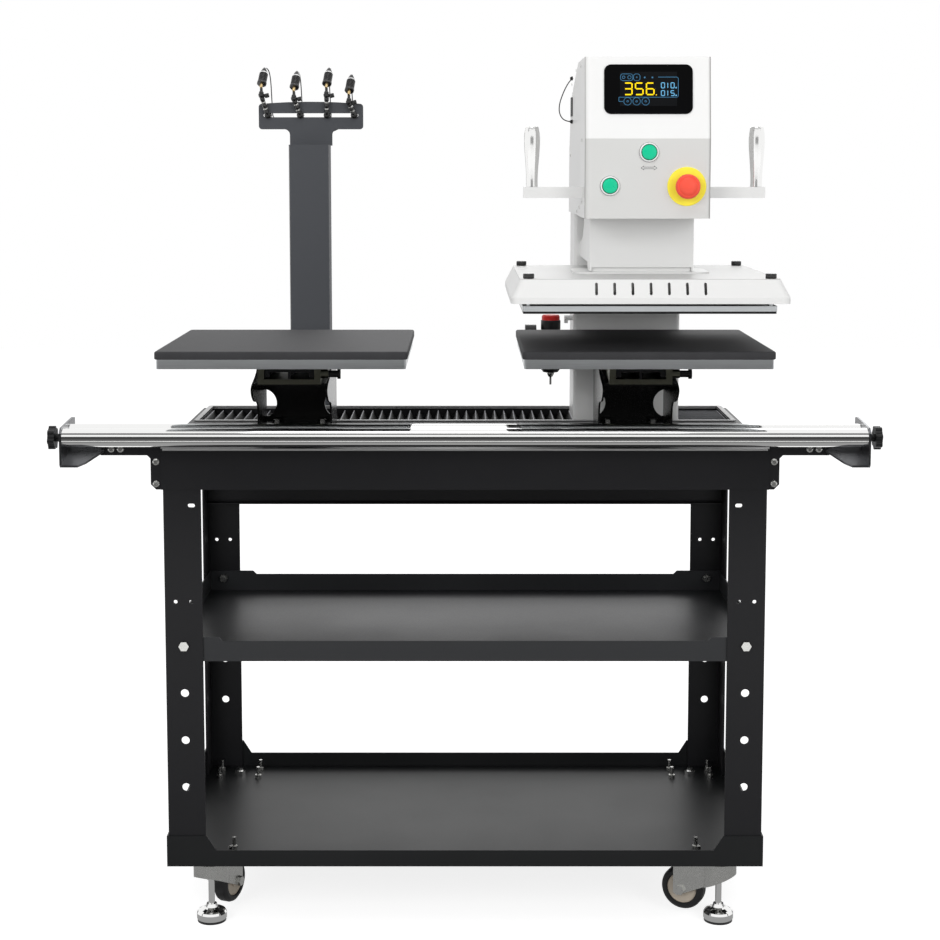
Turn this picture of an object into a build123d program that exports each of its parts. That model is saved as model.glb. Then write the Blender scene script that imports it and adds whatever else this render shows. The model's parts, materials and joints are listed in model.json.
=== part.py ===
from build123d import *
import math
import os

# Dual station heat press on a wheeled cart, in millimetres.
# X runs left to right, Y runs front to back, Z is up, and the floor is Z = 0.

# Driving dimensions of the cart
CART_WIDTH = 927.4
CART_DEPTH = 485.0
DECK_Z = 767.0
DECK_SHEET = 2.0
DECK_BEND = 4.0
APRON_HEIGHT = 63.0
LEG_FLANGE = 58.5
LEG_SHEET = 3.0
LEG_BEND = 4.0
LEG_HOLE_R = 6.4
LEG_HOLE_LOW_Z = 234.0
LEG_HOLE_PITCH = 75.0
LEG_HOLE_COUNT = 4
SHELF_BOLT_R = 4.0
LEG_PILOT_PITCH = 24.0
LEG_PILOT_Z = 528.5
LEG_PILOT_R = 3.0
LEG_SLOT_DROP = 88.0
LEG_SLOT_NEAR = 12.0
LEG_SLOT_FAR = 17.0
LEG_SLOT_R = 3.0
TRAY_Z = 107.0
TRAY_LIP = 26.0
TRAY_CORNER_LIP = 49.0
TRAY_CORNER_RUN = 62.0
TRAY_SLOPE = 15.0
SHELF_Z = 434.0
SHELF_LIP = 32.0
SHELF_END_LIP = 38.0
SHELF_END_RUN = 78.0
SHELF_SLOPE = 7.0
SHEET = 2.0
REAR_PANEL_DROP = 169.0
REAR_PANEL_RETURN = 16.0

# Trough, bellows and shuttle drive
TROUGH_HALF = 449.0
TROUGH_DEPTH = 178.0
TROUGH_REAR_GAP = 6.5
TROUGH_RIM = 8.0
RIM_THICK = 4.0
BELLOWS_FOLDS = 38
BELLOWS_HEIGHT = 18.0
BELLOWS_SHALLOW = 2.0
BELLOWS_CLOTH = 5.0
RAIL_R = 10.0
RAIL_DROP = 45.0
RAIL_SPACING = 80.0
RAIL_BLOCK = 34.0
CYLINDER_R = 16.0
CYLINDER_BLOCK = 40.0
CARRIAGE_PLATE = 10.0
CARRIAGE_DROP = 5.0
BEARING_LENGTH = 50.0

# Column, two stations in front of it
COLUMN_WIDTH = 181.0
COLUMN_DEPTH = 119.0
COLUMN_WALL = 3.0
COLUMN_SETBACK = 53.0
STATION_PITCH = 552.0
STATION_REACH = 212.0
PAD_SIZE = 380.0
PAD_THICK = 12.0
PAD_RISE = 154.0
PAD_CORNER = 7.0
PLATEN_INSET = 2.8
PLATEN_THICK = 14.5
CARRIER_THICK = 3.0
CARRIER_WIDTH = 159.0
CARRIER_SHIFT = 4.8
CARRIER_STUB_R = 4.7
HEAT_THICK = 11.5
HEAT_STEP = 3.5
PRESS_GAP = 56.8
PEDESTAL_FRONT = 60.0
PEDESTAL_DEPTH = 210.0
PEDESTAL_HALF = 60.3
PEDESTAL_SHEET = 3.0
TONGUE_WIDTH = 78.0
TONGUE_WEB = 4.0
SOCKET_WIDTH = 98.8
SOCKET_DEPTH = 190.0
SOCKET_HEIGHT = 38.5
SOCKET_FLOOR = 8.0
TONGUE_HEIGHT = 27.5
PLUNGER_SETBACK = 8.0
PLUNGER_DROP = 22.5
PLUNGER_R = 3.8
WINDOW_R = 24.0

# Guard tubes, their brackets and knobs
TUBE_R = 14.0
TUBE_WALL = 2.0
TUBE_REACH = 43.5
TUBE_PITCH = 50.0
TUBE_RISE = 23.7
TUBE_SPAN = 1209.4
BRACKET_SHEET = 3.0
BRACKET_DROP = 20.0
GUSSET_WIDTH = 55.0
ARM_SHEET = 4.0
ARM_REACH = 557.0
ARM_DEPTH = 10.0
TAB_REACH = 520.0
RIVET_X = (527.0, 541.0)
CORNER_PLATE = 15.3
SCREW_DROP = (54.0, 20.0)
KNOB_R = 18.0
KNOB_THICK = 10.0
KNOB_GAP = 7.0
KNOB_LOBES = 7
KNOB_STUD_R = 4.0

# Casters and levelling feet
CASTER_SIDE = 59.7
CASTER_END = 47.5
CASTER_TRAIL = 58.0
CASTER_TURNS = (68.0, 154.0, 0.0, 180.0)
WHEEL_R = 35.0
WHEEL_WIDTH = 24.0
WHEEL_LIFT = 11.0
HUB_R = 10.0
FORK_SHEET = 3.0
FORK_INNER = 30.0
FORK_DROP = 30.0
FORK_SKIRT_R = 28.0
FORK_TAIL = 70.0
AXLE_R = 5.0
BRAKE_PIN_R = 2.5
FOOT_R = 23.7
FOOT_STEM_R = 5.0
SOLE_THICK = 4.0
CASTER_BOLT_X = 69.0
CASTER_BOLT_Y = 40.0
CASTER_SCREW_R = 3.0
PLATE_THICK = 4.0
RACE_DROP = 9.0

# Head
HEAD_WIDTH = 190.0
HEAD_RISE = 351.0
HEAD_HEIGHT = 243.0
HEAD_BEND = 0.498
HEAD_FRONT = 138.0
HEAD_DEPTH = 435.0
HEAD_LEAN = 16.0
HEAD_WALL = 2.5
PANEL_RETURN = 12.0
PANEL_BEND = 7.0
HEAD_BACK = ((0.432, 1.0), (0.623, 0.9136), (0.8966, 0.7819), (1.0, 0.3992))
NECK_WIDTH = 162.0
NECK_FRONT = 47.0
NECK_RISE = 118.4
NECK_WALL = 3.0
RAM_WIDTH = 155.0
RAM_DEPTH = 84.0
RAM_HEIGHT = 72.5
RAM_WALL = 4.0
FLANGE_WIDTH = 214.0
FLANGE_DEPTH = 118.0
FLANGE_THICK = 2.5
GUIDE_R = 8.0
GUIDE_X = 60.0
GUIDE_Y = 28.0
PISTON_R = 37.0
ROD_R = 12.0
CYLINDER_HEIGHT = 112.0
COVER_SIZE = 416.0
COVER_TOP_SIZE = 389.0
COVER_LIP = 9.0
COVER_GAP = 4.5
COVER_HEIGHT = 36.2
COVER_WALL = 2.0
SLOT_COUNT = 7
SLOT_PITCH = 27.0
SLOT_WIDTH = 4.2
STUD_REACH = 181.0
STUD_R = 3.0

# Controls
DISPLAY_WIDTH = 133.5
DISPLAY_HEIGHT = 75.0
DISPLAY_CORNER = 11.0
DISPLAY_PLACE = 0.798
DISPLAY_GLASS = 1.6
BUTTON_R = 11.5
BEZEL_R = 14.7
BUTTON_HIGH = (1.2, 0.4107)
BUTTON_LOW = (-57.3, 0.2029)
ESTOP = (58.4, 0.1992)
ESTOP_R = 19.0
ESTOP_RING_R = 29.3
ESTOP_REACH = 27.0
GRIP_X = 173.0
GRIP_SETBACK = 65.0
GRIP_R = 12.4
GRIP_LENGTH = 94.0
ARM_BAR = 17.0
ARM_BAR_RISE = 30.0
FILTER_SIDE = 37.5
FILTER_SETBACK = 38.0
FILTER_RISE = 99.0

# Laser post
POST_WIDTH = 70.0
POST_DEPTH = 60.0
POST_GAP = 4.5
POST_HEIGHT = 614.0
POST_LOW_Z = 620.0
POST_WALL = 3.0
POST_FOOT = 110.0
YOKE_WIDTH = 187.0
YOKE_STEM = 28.0
YOKE_HEIGHT = 45.0
YOKE_CROWN = 4.0
YOKE_SLOT_RISE = 25.0
YOKE_SLOT_HALF = 85.0
YOKE_SLOT_R = 3.5
LASER_R = 8.0
LASER_LENGTH = 27.0
LASER_TAIL = 12.0
LASER_BALL_R = 4.5
LASER_LEAN = 39.0
LASER_RIBS = 4
LASER_SLOTS = (-77.0, -19.0, 29.0, 77.5)
LASER_BALLS = (-87.0, -29.0, 29.0, 69.0)
LASER_BALL_RISE = (39.0, 33.0, 39.0, 27.0)

# Clearances
TOUCH = 0.3
RUNNING = 0.05
EASY = 0.2

# Heights worked out from those above
DECK_LOW = DECK_Z - DECK_SHEET
APRON_LOW = DECK_Z - APRON_HEIGHT
RAIL_Z = DECK_Z - RAIL_DROP
TUBE_Z = DECK_Z + TUBE_RISE
LEG_SLOT_Z = DECK_Z - LEG_SLOT_DROP
PAD_TOP_Z = DECK_Z + PAD_RISE
PAD_LOW = PAD_TOP_Z - PAD_THICK
PLATEN_LOW = PAD_LOW - PLATEN_THICK
SOCKET_LOW = PLATEN_LOW - SOCKET_HEIGHT
TONGUE_LOW = PLATEN_LOW - TONGUE_HEIGHT
PLUNGER_Z = PLATEN_LOW - PLUNGER_DROP
PEDESTAL_TOP_Z = SOCKET_LOW + 20.0
HEAT_LOW = PAD_TOP_Z + PRESS_GAP
HEAT_TOP = HEAT_LOW + HEAT_THICK
COVER_LOW = HEAT_TOP + COVER_GAP
COVER_TOP_Z = COVER_LOW + COVER_HEIGHT
NECK_BASE_Z = PAD_TOP_Z + NECK_RISE
HEAD_BASE_Z = DECK_Z + HEAD_RISE
HEAD_TOP_Z = HEAD_BASE_Z + HEAD_HEIGHT
HEAD_BEND_Z = HEAD_BASE_Z + HEAD_BEND * HEAD_HEIGHT
ARM_BAR_Z = HEAD_BASE_Z + ARM_BAR_RISE
RAM_LOW = COVER_TOP_Z + FLANGE_THICK
RAM_TOP = RAM_LOW + RAM_HEIGHT
FILTER_Z = DECK_Z + FILTER_RISE
POST_TOP_Z = POST_LOW_Z + POST_HEIGHT
YOKE_LOW_Z = POST_TOP_Z + YOKE_STEM
YOKE_TOP_Z = YOKE_LOW_Z + YOKE_HEIGHT
YOKE_SLOT_Z = YOKE_LOW_Z + YOKE_SLOT_RISE

# Places worked out from those above
STATIONS = (-STATION_PITCH / 2, STATION_PITCH / 2)
HOME_X = STATIONS[1]
FRONT_Y = -CART_DEPTH / 2 - DECK_SHEET
REAR_Y = CART_DEPTH / 2 + DECK_SHEET
DECK_HALF = CART_WIDTH / 2 + DECK_SHEET
TROUGH_REAR_Y = CART_DEPTH / 2 - TROUGH_REAR_GAP
TROUGH_FRONT_Y = TROUGH_REAR_Y - TROUGH_DEPTH
COLUMN_FRONT_Y = TROUGH_FRONT_Y + COLUMN_SETBACK
STATION_Y = COLUMN_FRONT_Y - STATION_REACH
PEDESTAL_FRONT_Y = STATION_Y - PEDESTAL_FRONT
PEDESTAL_REAR_Y = PEDESTAL_FRONT_Y + PEDESTAL_DEPTH
HEAD_FRONT_Y = STATION_Y - HEAD_FRONT
NECK_FRONT_Y = STATION_Y - NECK_FRONT
GRIP_Y = HEAD_FRONT_Y + GRIP_SETBACK
FILTER_X = HOME_X - COLUMN_WIDTH / 2 - FILTER_SIDE
FILTER_Y = COLUMN_FRONT_Y + FILTER_SETBACK
POST_FRONT_Y = REAR_Y + POST_GAP
TUBE_FRONT_Y = -CART_DEPTH / 2 - TUBE_REACH
CASTER_X = CART_WIDTH / 2 - CASTER_SIDE
CASTER_Y = CART_DEPTH / 2 - CASTER_END
PLATE_X = DECK_HALF + TOUCH
PLATE_EDGE = PLATE_X + CORNER_PLATE
PLATE_SCREW_X = PLATE_X + 7.0
PLATE_SCREW_Z = (DECK_Z - SCREW_DROP[0], DECK_Z - SCREW_DROP[1])
ARM_LOW = DECK_Z - ARM_DEPTH
ARM_TOP = TUBE_Z - TUBE_R - TOUCH


def block(x, y, z):
    """Box between two corners, each axis given as (low, high)."""
    size = (x[1] - x[0], y[1] - y[0], z[1] - z[0])
    middle = ((x[0] + x[1]) / 2, (y[0] + y[1]) / 2, (z[0] + z[1]) / 2)
    return Pos(*middle) * Box(*size)


def around(middle, width):
    """Pair of limits, width apart, about a middle."""
    return (middle - width / 2, middle + width / 2)


def rod_x(y, z, r, x):
    """Cylinder along X between two limits."""
    return Pos((x[0] + x[1]) / 2, y, z) * Rot(0, 90, 0) * Cylinder(r, x[1] - x[0])


def rod_y(x, z, r, y):
    """Cylinder along Y between two limits."""
    return Pos(x, (y[0] + y[1]) / 2, z) * Rot(90, 0, 0) * Cylinder(r, y[1] - y[0])


def rod_z(x, y, r, z):
    """Cylinder along Z between two limits."""
    return Pos(x, y, (z[0] + z[1]) / 2) * Cylinder(r, z[1] - z[0])


def sheet_yz(points, x):
    """Outline in Y and Z, carried along X between two limits."""
    return extrude(Plane.YZ.offset(x[0]) * Polygon(*points, align=None), x[1] - x[0], dir=(1, 0, 0))


def sheet_xz(points, y):
    """Outline in X and Z, carried along Y between two limits."""
    return extrude(Plane.XZ.offset(-y[0]) * Polygon(*points, align=None), y[1] - y[0], dir=(0, 1, 0))


def sheet_xy(points, z):
    """Outline in X and Y, carried along Z between two limits."""
    return extrude(Plane.XY.offset(z[0]) * Polygon(*points, align=None), z[1] - z[0], dir=(0, 0, 1))


def pad_plate(x, y, width, depth, z, r):
    """Flat plate with round corners about a point."""
    outline = Pos(x, y, z[0]) * RectangleRounded(width, depth, r)
    return extrude(outline, z[1] - z[0])


def turned(points, x, y, z):
    """Solid of revolution about a vertical axis, from (radius, height) points."""
    face = Plane.XZ * Polygon(*points, align=None)
    return Pos(x, y, z) * revolve(face, Axis.Z)


def group(*solids):
    """Separate solids of one node."""
    return Compound(children=list(solids))


def mirror_x(solid):
    """The same piece on the other side."""
    return mirror(solid, Plane.YZ)


# Cart frame
def edges_along(solid, axis, **place):
    """Straight edges along an axis that pass through the given X, Y or Z."""
    found = []
    for edge in solid.edges().filter_by(axis):
        middle = edge.center()
        if all(abs(getattr(middle, name) - value) < 0.01 for name, value in place.items()):
            found.append(edge)
    return found


def make_deck_pan():
    """Folded deck with a front and rear apron and two side flanges, open over the trough."""
    pan = block((-DECK_HALF, DECK_HALF), (FRONT_Y, REAR_Y), (APRON_LOW, DECK_Z))
    inner = DECK_HALF - DECK_SHEET
    pan -= block((-inner, inner), (FRONT_Y + DECK_SHEET, REAR_Y - DECK_SHEET), (APRON_LOW - 1, DECK_LOW))
    bends = edges_along(pan, Axis.X, Y=FRONT_Y, Z=DECK_Z) + edges_along(pan, Axis.X, Y=REAR_Y, Z=DECK_Z)
    pan = fillet(bends, DECK_BEND)
    opening = block((-TROUGH_HALF, TROUGH_HALF), (TROUGH_FRONT_Y, TROUGH_REAR_Y), (DECK_LOW - 1, DECK_Z + 1))
    return pan - opening


def make_leg(side, end):
    """Angle leg with a row of round holes and a slot in its front or rear flange."""
    x_out = side * CART_WIDTH / 2
    y_out = end * CART_DEPTH / 2
    x_in = x_out - side * LEG_FLANGE
    y_in = y_out - end * LEG_FLANGE
    low = TRAY_Z + SHEET
    leg = block(sorted((x_out, x_in)), sorted((y_out, y_out - end * LEG_SHEET)), (low, DECK_LOW))
    leg += block(sorted((x_out, x_out - side * LEG_SHEET)), sorted((y_out, y_in)), (low, DECK_LOW))
    leg = fillet(edges_along(leg, Axis.Z, X=x_out, Y=y_out), LEG_BEND)
    across = sorted((y_out + end, y_out - end * (LEG_SHEET + 1)))
    hole_x = (x_out + x_in) / 2
    for step in range(LEG_HOLE_COUNT):
        z = LEG_HOLE_LOW_Z + step * LEG_HOLE_PITCH
        leg -= rod_y(hole_x, z, SHELF_BOLT_R if step == LEG_HOLE_COUNT - 1 else LEG_HOLE_R, across)
    for offset in (-LEG_PILOT_PITCH / 2, LEG_PILOT_PITCH / 2):
        leg -= rod_y(hole_x + offset, LEG_PILOT_Z, LEG_PILOT_R, across)
    ends = [hole_x - side * LEG_SLOT_NEAR, hole_x - side * LEG_SLOT_FAR]
    slot = block(sorted(ends), across, around(LEG_SLOT_Z, 2 * LEG_SLOT_R))
    for end_x in ends:
        slot += rod_y(end_x, LEG_SLOT_Z, LEG_SLOT_R, across)
    return leg - slot


def tray(half_x, half_y, z, lip, end_lip, end_run, slope):
    """Sheet tray whose lips stand higher near its corners."""
    top = z + end_lip
    body = block((-half_x, half_x), (-half_y, half_y), (z, top))
    body -= block((-half_x + SHEET, half_x - SHEET), (-half_y + SHEET, half_y - SHEET), (z + SHEET, top + 1))
    low = z + lip
    edge = half_x - end_run
    notch = [(-edge + slope, low), (edge - slope, low), (edge, top + 1), (-edge, top + 1)]
    return body - sheet_xz(notch, (-half_y - 1, half_y + 1))


def make_lower_tray():
    """Bottom tray that carries the legs, drilled for the caster bolts."""
    half_x = CART_WIDTH / 2 + SHEET + TOUCH
    half_y = CART_DEPTH / 2 + SHEET + TOUCH
    body = tray(half_x, half_y, TRAY_Z, TRAY_LIP, TRAY_CORNER_LIP, TRAY_CORNER_RUN, TRAY_SLOPE)
    for x, y in caster_spots():
        body -= rod_z(x, y, FOOT_STEM_R + EASY, (TRAY_Z - 1, TRAY_Z + SHEET + 1))
        for bolt_x, bolt_y in bolt_spots(x, y):
            body -= rod_z(bolt_x, bolt_y, CASTER_SCREW_R + EASY, (TRAY_Z - 1, TRAY_Z + SHEET + 1))
    return body


def make_upper_shelf():
    """Shelf tray between the legs, held by a bolt at each corner."""
    half_x = CART_WIDTH / 2 - LEG_SHEET - TOUCH
    half_y = CART_DEPTH / 2 - LEG_SHEET - TOUCH
    body = tray(half_x, half_y, SHELF_Z, SHELF_LIP, SHELF_END_LIP, SHELF_END_RUN, SHELF_SLOPE)
    for side in (-1, 1):
        body -= rod_y(side * shelf_bolt_x(), shelf_bolt_z(), SHELF_BOLT_R, (-half_y - 1, half_y + 1))
    return body


def shelf_bolt_x():
    """Distance of a shelf bolt from the middle of the cart."""
    return CART_WIDTH / 2 - LEG_FLANGE / 2


def shelf_bolt_z():
    """Height of the shelf bolts, at the legs' top hole."""
    return LEG_HOLE_LOW_Z + (LEG_HOLE_COUNT - 1) * LEG_HOLE_PITCH


def make_rear_panel():
    """Deep stiffening panel between the rear legs."""
    half = CART_WIDTH / 2 - LEG_SHEET - TOUCH
    y = CART_DEPTH / 2 - LEG_SHEET - TOUCH
    low = DECK_LOW - REAR_PANEL_DROP
    panel = block((-half, half), (y - SHEET, y), (low, DECK_LOW))
    return panel + block((-half, half), (y - REAR_PANEL_RETURN, y - SHEET), (low, low + SHEET))


def hex_bolt(head_r, head, shank_r, length):
    """Hexagon bolt that points down, its head on Z = 0."""
    bolt = extrude(RegularPolygon(head_r, 6), head)
    return bolt + rod_z(0, 0, shank_r, (-length, 0))


def make_frame_bolts():
    """Shelf bolts with nuts, the outrigger screws and the rear tube's end screws."""
    solids = []
    leg_face = CART_DEPTH / 2
    inner = leg_face - LEG_SHEET - TOUCH - SHEET
    for side in (-1, 1):
        for end in (-1, 1):
            turn = Rot(90, 0, 0) if end < 0 else Rot(-90, 0, 0)
            place = Pos(side * shelf_bolt_x(), end * leg_face, shelf_bolt_z())
            bolt = place * turn * hex_bolt(8, 5, SHELF_BOLT_R - RUNNING, leg_face - inner + 9)
            nut_y = sorted((end * inner, end * (inner - 6)))
            bolt += rod_y(side * shelf_bolt_x(), shelf_bolt_z(), 7, nut_y)
            solids.append(bolt)
        for z in PLATE_SCREW_Z:
            place = Pos(side * PLATE_SCREW_X, -CART_DEPTH / 2, z) * Rot(90, 0, 0)
            solids.append(place * pan_screw(5, 3.2, 2.5, ARM_SHEET + 6))
        place = Pos(side * (bracket_inner_x() + BRACKET_SHEET), TUBE_FRONT_Y + TUBE_PITCH, TUBE_Z)
        solids.append(place * Rot(0, side * 90, 0) * pan_screw(7, 4, 3, BRACKET_SHEET + 12))
    return solids


def pan_screw(head_r, head, shank_r, length):
    """Pan-head screw that points down, its head on Z = 0."""
    crown = turned([(0, 0), (head_r, 0), (head_r, head * 0.5), (head_r * 0.6, head), (0, head)], 0, 0, 0)
    return crown + rod_z(0, 0, shank_r, (-length, 0))


def bracket_inner_x():
    """Inner face of an end bracket, just past the tube's end."""
    return TUBE_SPAN / 2 + TOUCH


def make_outrigger():
    """Right-hand corner plate beside the apron, with an arm out to the tube bracket."""
    y = (-CART_DEPTH / 2, -CART_DEPTH / 2 + ARM_SHEET)
    corner = 8.0
    points = [(PLATE_X, APRON_LOW), (PLATE_EDGE - corner, APRON_LOW), (PLATE_EDGE, APRON_LOW + corner)]
    points += [(PLATE_EDGE, ARM_LOW - 5), (PLATE_EDGE + 5, ARM_LOW), (ARM_REACH, ARM_LOW)]
    points += [(ARM_REACH, ARM_TOP), (PLATE_X, ARM_TOP)]
    plate = sheet_xz(points, y)
    plate += block((PLATE_X, PLATE_X + ARM_SHEET), (y[1], y[1] + 70), (APRON_LOW, DECK_Z - TOUCH))
    for z in PLATE_SCREW_Z:
        plate -= rod_y(PLATE_SCREW_X, z, 2.5 + EASY, (y[0] - 1, y[1] + 1))
    for x in RIVET_X:
        plate -= rod_y(x, (ARM_LOW + ARM_TOP) / 2, 3 + EASY, (y[0] - 1, y[1] + 1))
    return plate


def make_end_bracket():
    """Right-hand folded bracket: end plate, sloping gusset and a tab behind the arm."""
    x = bracket_inner_x()
    top = TUBE_Z + TUBE_R + 2
    front = TUBE_FRONT_Y - TUBE_R - 1
    back = TUBE_FRONT_Y + TUBE_PITCH + 40
    arm_face = -CART_DEPTH / 2 - TOUCH
    low = DECK_Z - BRACKET_DROP
    points = [(front, low + 4), (front + 4, low), (arm_face, DECK_Z), (back, DECK_Z), (back, top + 3)]
    points += [(back - 14, top + 5), (front + 8, top), (front, top - 8)]
    bracket = sheet_yz(points, (x, x + BRACKET_SHEET))
    rise = BRACKET_SHEET
    gusset = [(front + 4, low), (arm_face, DECK_Z), (arm_face, DECK_Z + rise), (front + 4, low + rise)]
    flange = sheet_yz(gusset, (x - GUSSET_WIDTH, x))
    taper = [(x - GUSSET_WIDTH - 1, front - 1), (x - 18, front - 1), (x - 34, front + 14)]
    taper += [(x - GUSSET_WIDTH - 1, arm_face - 8)]
    bracket += flange - sheet_xy(taper, (low - 1, DECK_Z + rise + 1))
    tab = -CART_DEPTH / 2 + ARM_SHEET + TOUCH
    tab_y = (tab, tab + BRACKET_SHEET)
    bracket += block((TAB_REACH, x), tab_y, (ARM_LOW, ARM_TOP))
    for hole_x in RIVET_X:
        bracket -= rod_y(hole_x, (ARM_LOW + ARM_TOP) / 2, 3 + EASY, (tab_y[0] - 1, tab_y[1] + 1))
    for step in range(2):
        y = TUBE_FRONT_Y + step * TUBE_PITCH
        r = KNOB_STUD_R if step == 0 else 3
        bracket -= rod_x(y, TUBE_Z, r + EASY, (x - 1, x + BRACKET_SHEET + 1))
    return bracket


def make_arm_screws():
    """Screws that join each end bracket's tab to its arm."""
    solids = []
    z = (ARM_LOW + ARM_TOP) / 2
    for side in (-1, 1):
        for x in RIVET_X:
            place = Pos(side * x, -CART_DEPTH / 2, z) * Rot(90, 0, 0)
            solids.append(place * pan_screw(5, 2.5, 3, ARM_SHEET + BRACKET_SHEET + 5))
    return solids


def make_guard_tubes():
    """Two polished tubes with a plugged, drilled end on each side."""
    solids = []
    for step in range(2):
        y = TUBE_FRONT_Y + step * TUBE_PITCH
        half = TUBE_SPAN / 2
        tube = rod_x(y, TUBE_Z, TUBE_R, (-half, half))
        tube -= rod_x(y, TUBE_Z, TUBE_R - TUBE_WALL, (-half + 20, half - 20))
        hole = KNOB_STUD_R if step == 0 else 3
        for side in (-1, 1):
            tube -= rod_x(y, TUBE_Z, hole + RUNNING, sorted((side * (half - 19), side * (half + 1))))
        solids.append(tube)
    return group(*solids)


def make_star_knob(side):
    """Lobed clamp knob on a thin collar, with a stud into the front tube."""
    start = bracket_inner_x() + BRACKET_SHEET + TOUCH
    z = (KNOB_GAP, KNOB_GAP + KNOB_THICK)
    knob = rod_z(0, 0, 6, (0, KNOB_GAP)) + rod_z(0, 0, KNOB_R - 2.5, z)
    lobe = 4.5
    for step in range(KNOB_LOBES):
        angle = 2 * math.pi * step / KNOB_LOBES
        reach = KNOB_R - lobe
        knob += rod_z(reach * math.cos(angle), reach * math.sin(angle), lobe, z)
    knob -= rod_z(0, 0, 6, (z[1] - 2, z[1] + 1))
    knob += rod_z(0, 0, KNOB_STUD_R, (-17, 0))
    return Pos(side * start, TUBE_FRONT_Y, TUBE_Z) * Rot(0, side * 90, 0) * knob


# Casters and feet
def caster_spots():
    """Places of the four casters."""
    return [(side * CASTER_X, end * CASTER_Y) for end in (-1, 1) for side in (-1, 1)]


def bolt_spots(x, y):
    """Places of one caster's four bolts."""
    return [(x + a * CASTER_BOLT_X / 2, y + b * CASTER_BOLT_Y / 2) for a in (-1, 1) for b in (-1, 1)]


def make_caster_plates():
    """Bolted top plates with the fixed half of each swivel race, hollow for the foot's stem."""
    solids = []
    for x, y in caster_spots():
        plate = pad_plate(x, y, CASTER_BOLT_X + 16, CASTER_BOLT_Y + 16, (TRAY_Z - PLATE_THICK, TRAY_Z), 5)
        plate += rod_z(x, y, 16, (TRAY_Z - RACE_DROP, TRAY_Z - PLATE_THICK))
        plate -= rod_z(x, y, FOOT_STEM_R + EASY, (TRAY_Z - RACE_DROP - 1, TRAY_Z + 1))
        for bolt_x, bolt_y in bolt_spots(x, y):
            plate -= rod_z(bolt_x, bolt_y, CASTER_SCREW_R + EASY, (TRAY_Z - PLATE_THICK - 1, TRAY_Z + 1))
        solids.append(plate)
    return solids


def make_caster_bolts():
    """Four bolts with nuts and long tails up through the tray at each caster."""
    solids = []
    for x, y in caster_spots():
        for bolt_x, bolt_y in bolt_spots(x, y):
            low = TRAY_Z - PLATE_THICK
            bolt = rod_z(bolt_x, bolt_y, 5, (low - 3, low))
            bolt += rod_z(bolt_x, bolt_y, CASTER_SCREW_R, (low, TRAY_Z + 22))
            solids.append(bolt + rod_z(bolt_x, bolt_y, 5.5, (TRAY_Z + SHEET, TRAY_Z + SHEET + 6)))
    return solids


def make_leveling_feet():
    """Domed feet on threaded stems that pass through the casters' middles."""
    solids = []
    neck = 28.0
    dome = [(0, SOLE_THICK), (FOOT_R - 0.7, SOLE_THICK), (FOOT_R, SOLE_THICK + 1), (FOOT_R, 13.5)]
    dome += [(FOOT_R - 2, 17), (FOOT_R - 5, 18.5), (12, 20.5), (9.5, 22.5), (8, neck), (0, neck)]
    for x, y in caster_spots():
        foot = turned(dome, x, y, 0)
        foot += rod_z(x, y, FOOT_STEM_R, (neck, TRAY_Z + 14))
        foot += Pos(x, y, TRAY_Z - FORK_DROP - 9) * extrude(RegularPolygon(9, 6), 7)
        foot += Pos(x, y, TRAY_Z + SHEET) * extrude(RegularPolygon(9, 6), 7)
        solids.append(foot)
    return solids


def make_foot_pads():
    """Rubber soles of the levelling feet."""
    return [rod_z(x, y, FOOT_R - 1, (0, SOLE_THICK)) for x, y in caster_spots()]


def caster_turn(spot):
    """Direction in which a caster's wheel trails, in degrees about the swivel."""
    return CASTER_TURNS[spot]


def in_caster(spot, solid):
    """Put a caster piece made at the origin, trailing along +X, in its place."""
    x, y = caster_spots()[spot]
    return Pos(x, y, 0) * Rot(0, 0, caster_turn(spot)) * solid


def make_fork(spot):
    """Pressed fork: flat cheeks round the wheel, a round skirt under the race and its axle bolt."""
    axle_z = WHEEL_R + WHEEL_LIFT
    top = TRAY_Z - RACE_DROP - TOUCH
    half = FORK_INNER / 2 + FORK_SHEET
    shoulder = 17.0
    low = axle_z - 20
    skirt = rod_z(0, 0, FORK_SKIRT_R, (low, top))
    skirt -= rod_z(0, 0, FORK_SKIRT_R - FORK_SHEET, (low - 1, top - FORK_SHEET))
    skirt -= block((shoulder, FORK_SKIRT_R + 1), (-FORK_SKIRT_R - 1, FORK_SKIRT_R + 1), (low - 1, top + 1))
    wide = math.sqrt(FORK_SKIRT_R ** 2 - shoulder ** 2)
    shell = block((shoulder - FORK_SHEET, shoulder), (-wide, wide), (low, top))
    shell += block((shoulder - FORK_SHEET, FORK_TAIL), (-half, half), (low, top))
    clear = (-half + FORK_SHEET, half - FORK_SHEET)
    shell -= block((shoulder - FORK_SHEET - 1, FORK_TAIL + 1), clear, (low - 1, top - FORK_SHEET))
    shell += skirt
    slope = [(FORK_TAIL, axle_z - 6), (CASTER_TRAIL + 6, axle_z - 10.5), (-FORK_SKIRT_R - 1, top - 18.5)]
    slope += [(-FORK_SKIRT_R - 1, low - 2), (FORK_TAIL + 2, low - 2), (FORK_TAIL + 2, axle_z - 6)]
    shell -= sheet_xz(slope, (-FORK_SKIRT_R - 1, FORK_SKIRT_R + 1))
    fork = shell - rod_z(0, 0, FOOT_STEM_R + 2, (top - 6, top + 1))
    fork -= rod_y(CASTER_TRAIL, axle_z, AXLE_R, (-half - 1, half + 1))
    if spot == 0:
        pin_x, pin_z = brake_pivot()
        fork -= rod_y(pin_x, pin_z + 1, BRAKE_PIN_R + RUNNING, (-half - 1, half + 1))
    axle = rod_y(CASTER_TRAIL, axle_z, AXLE_R - RUNNING, (-half, half))
    for end in (-1, 1):
        cap = Pos(CASTER_TRAIL, end * half, axle_z) * Rot(-90 * end, 0, 0) * extrude(RegularPolygon(8, 6), 5)
        axle += cap
    return group(in_caster(spot, fork), in_caster(spot, axle))


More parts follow.
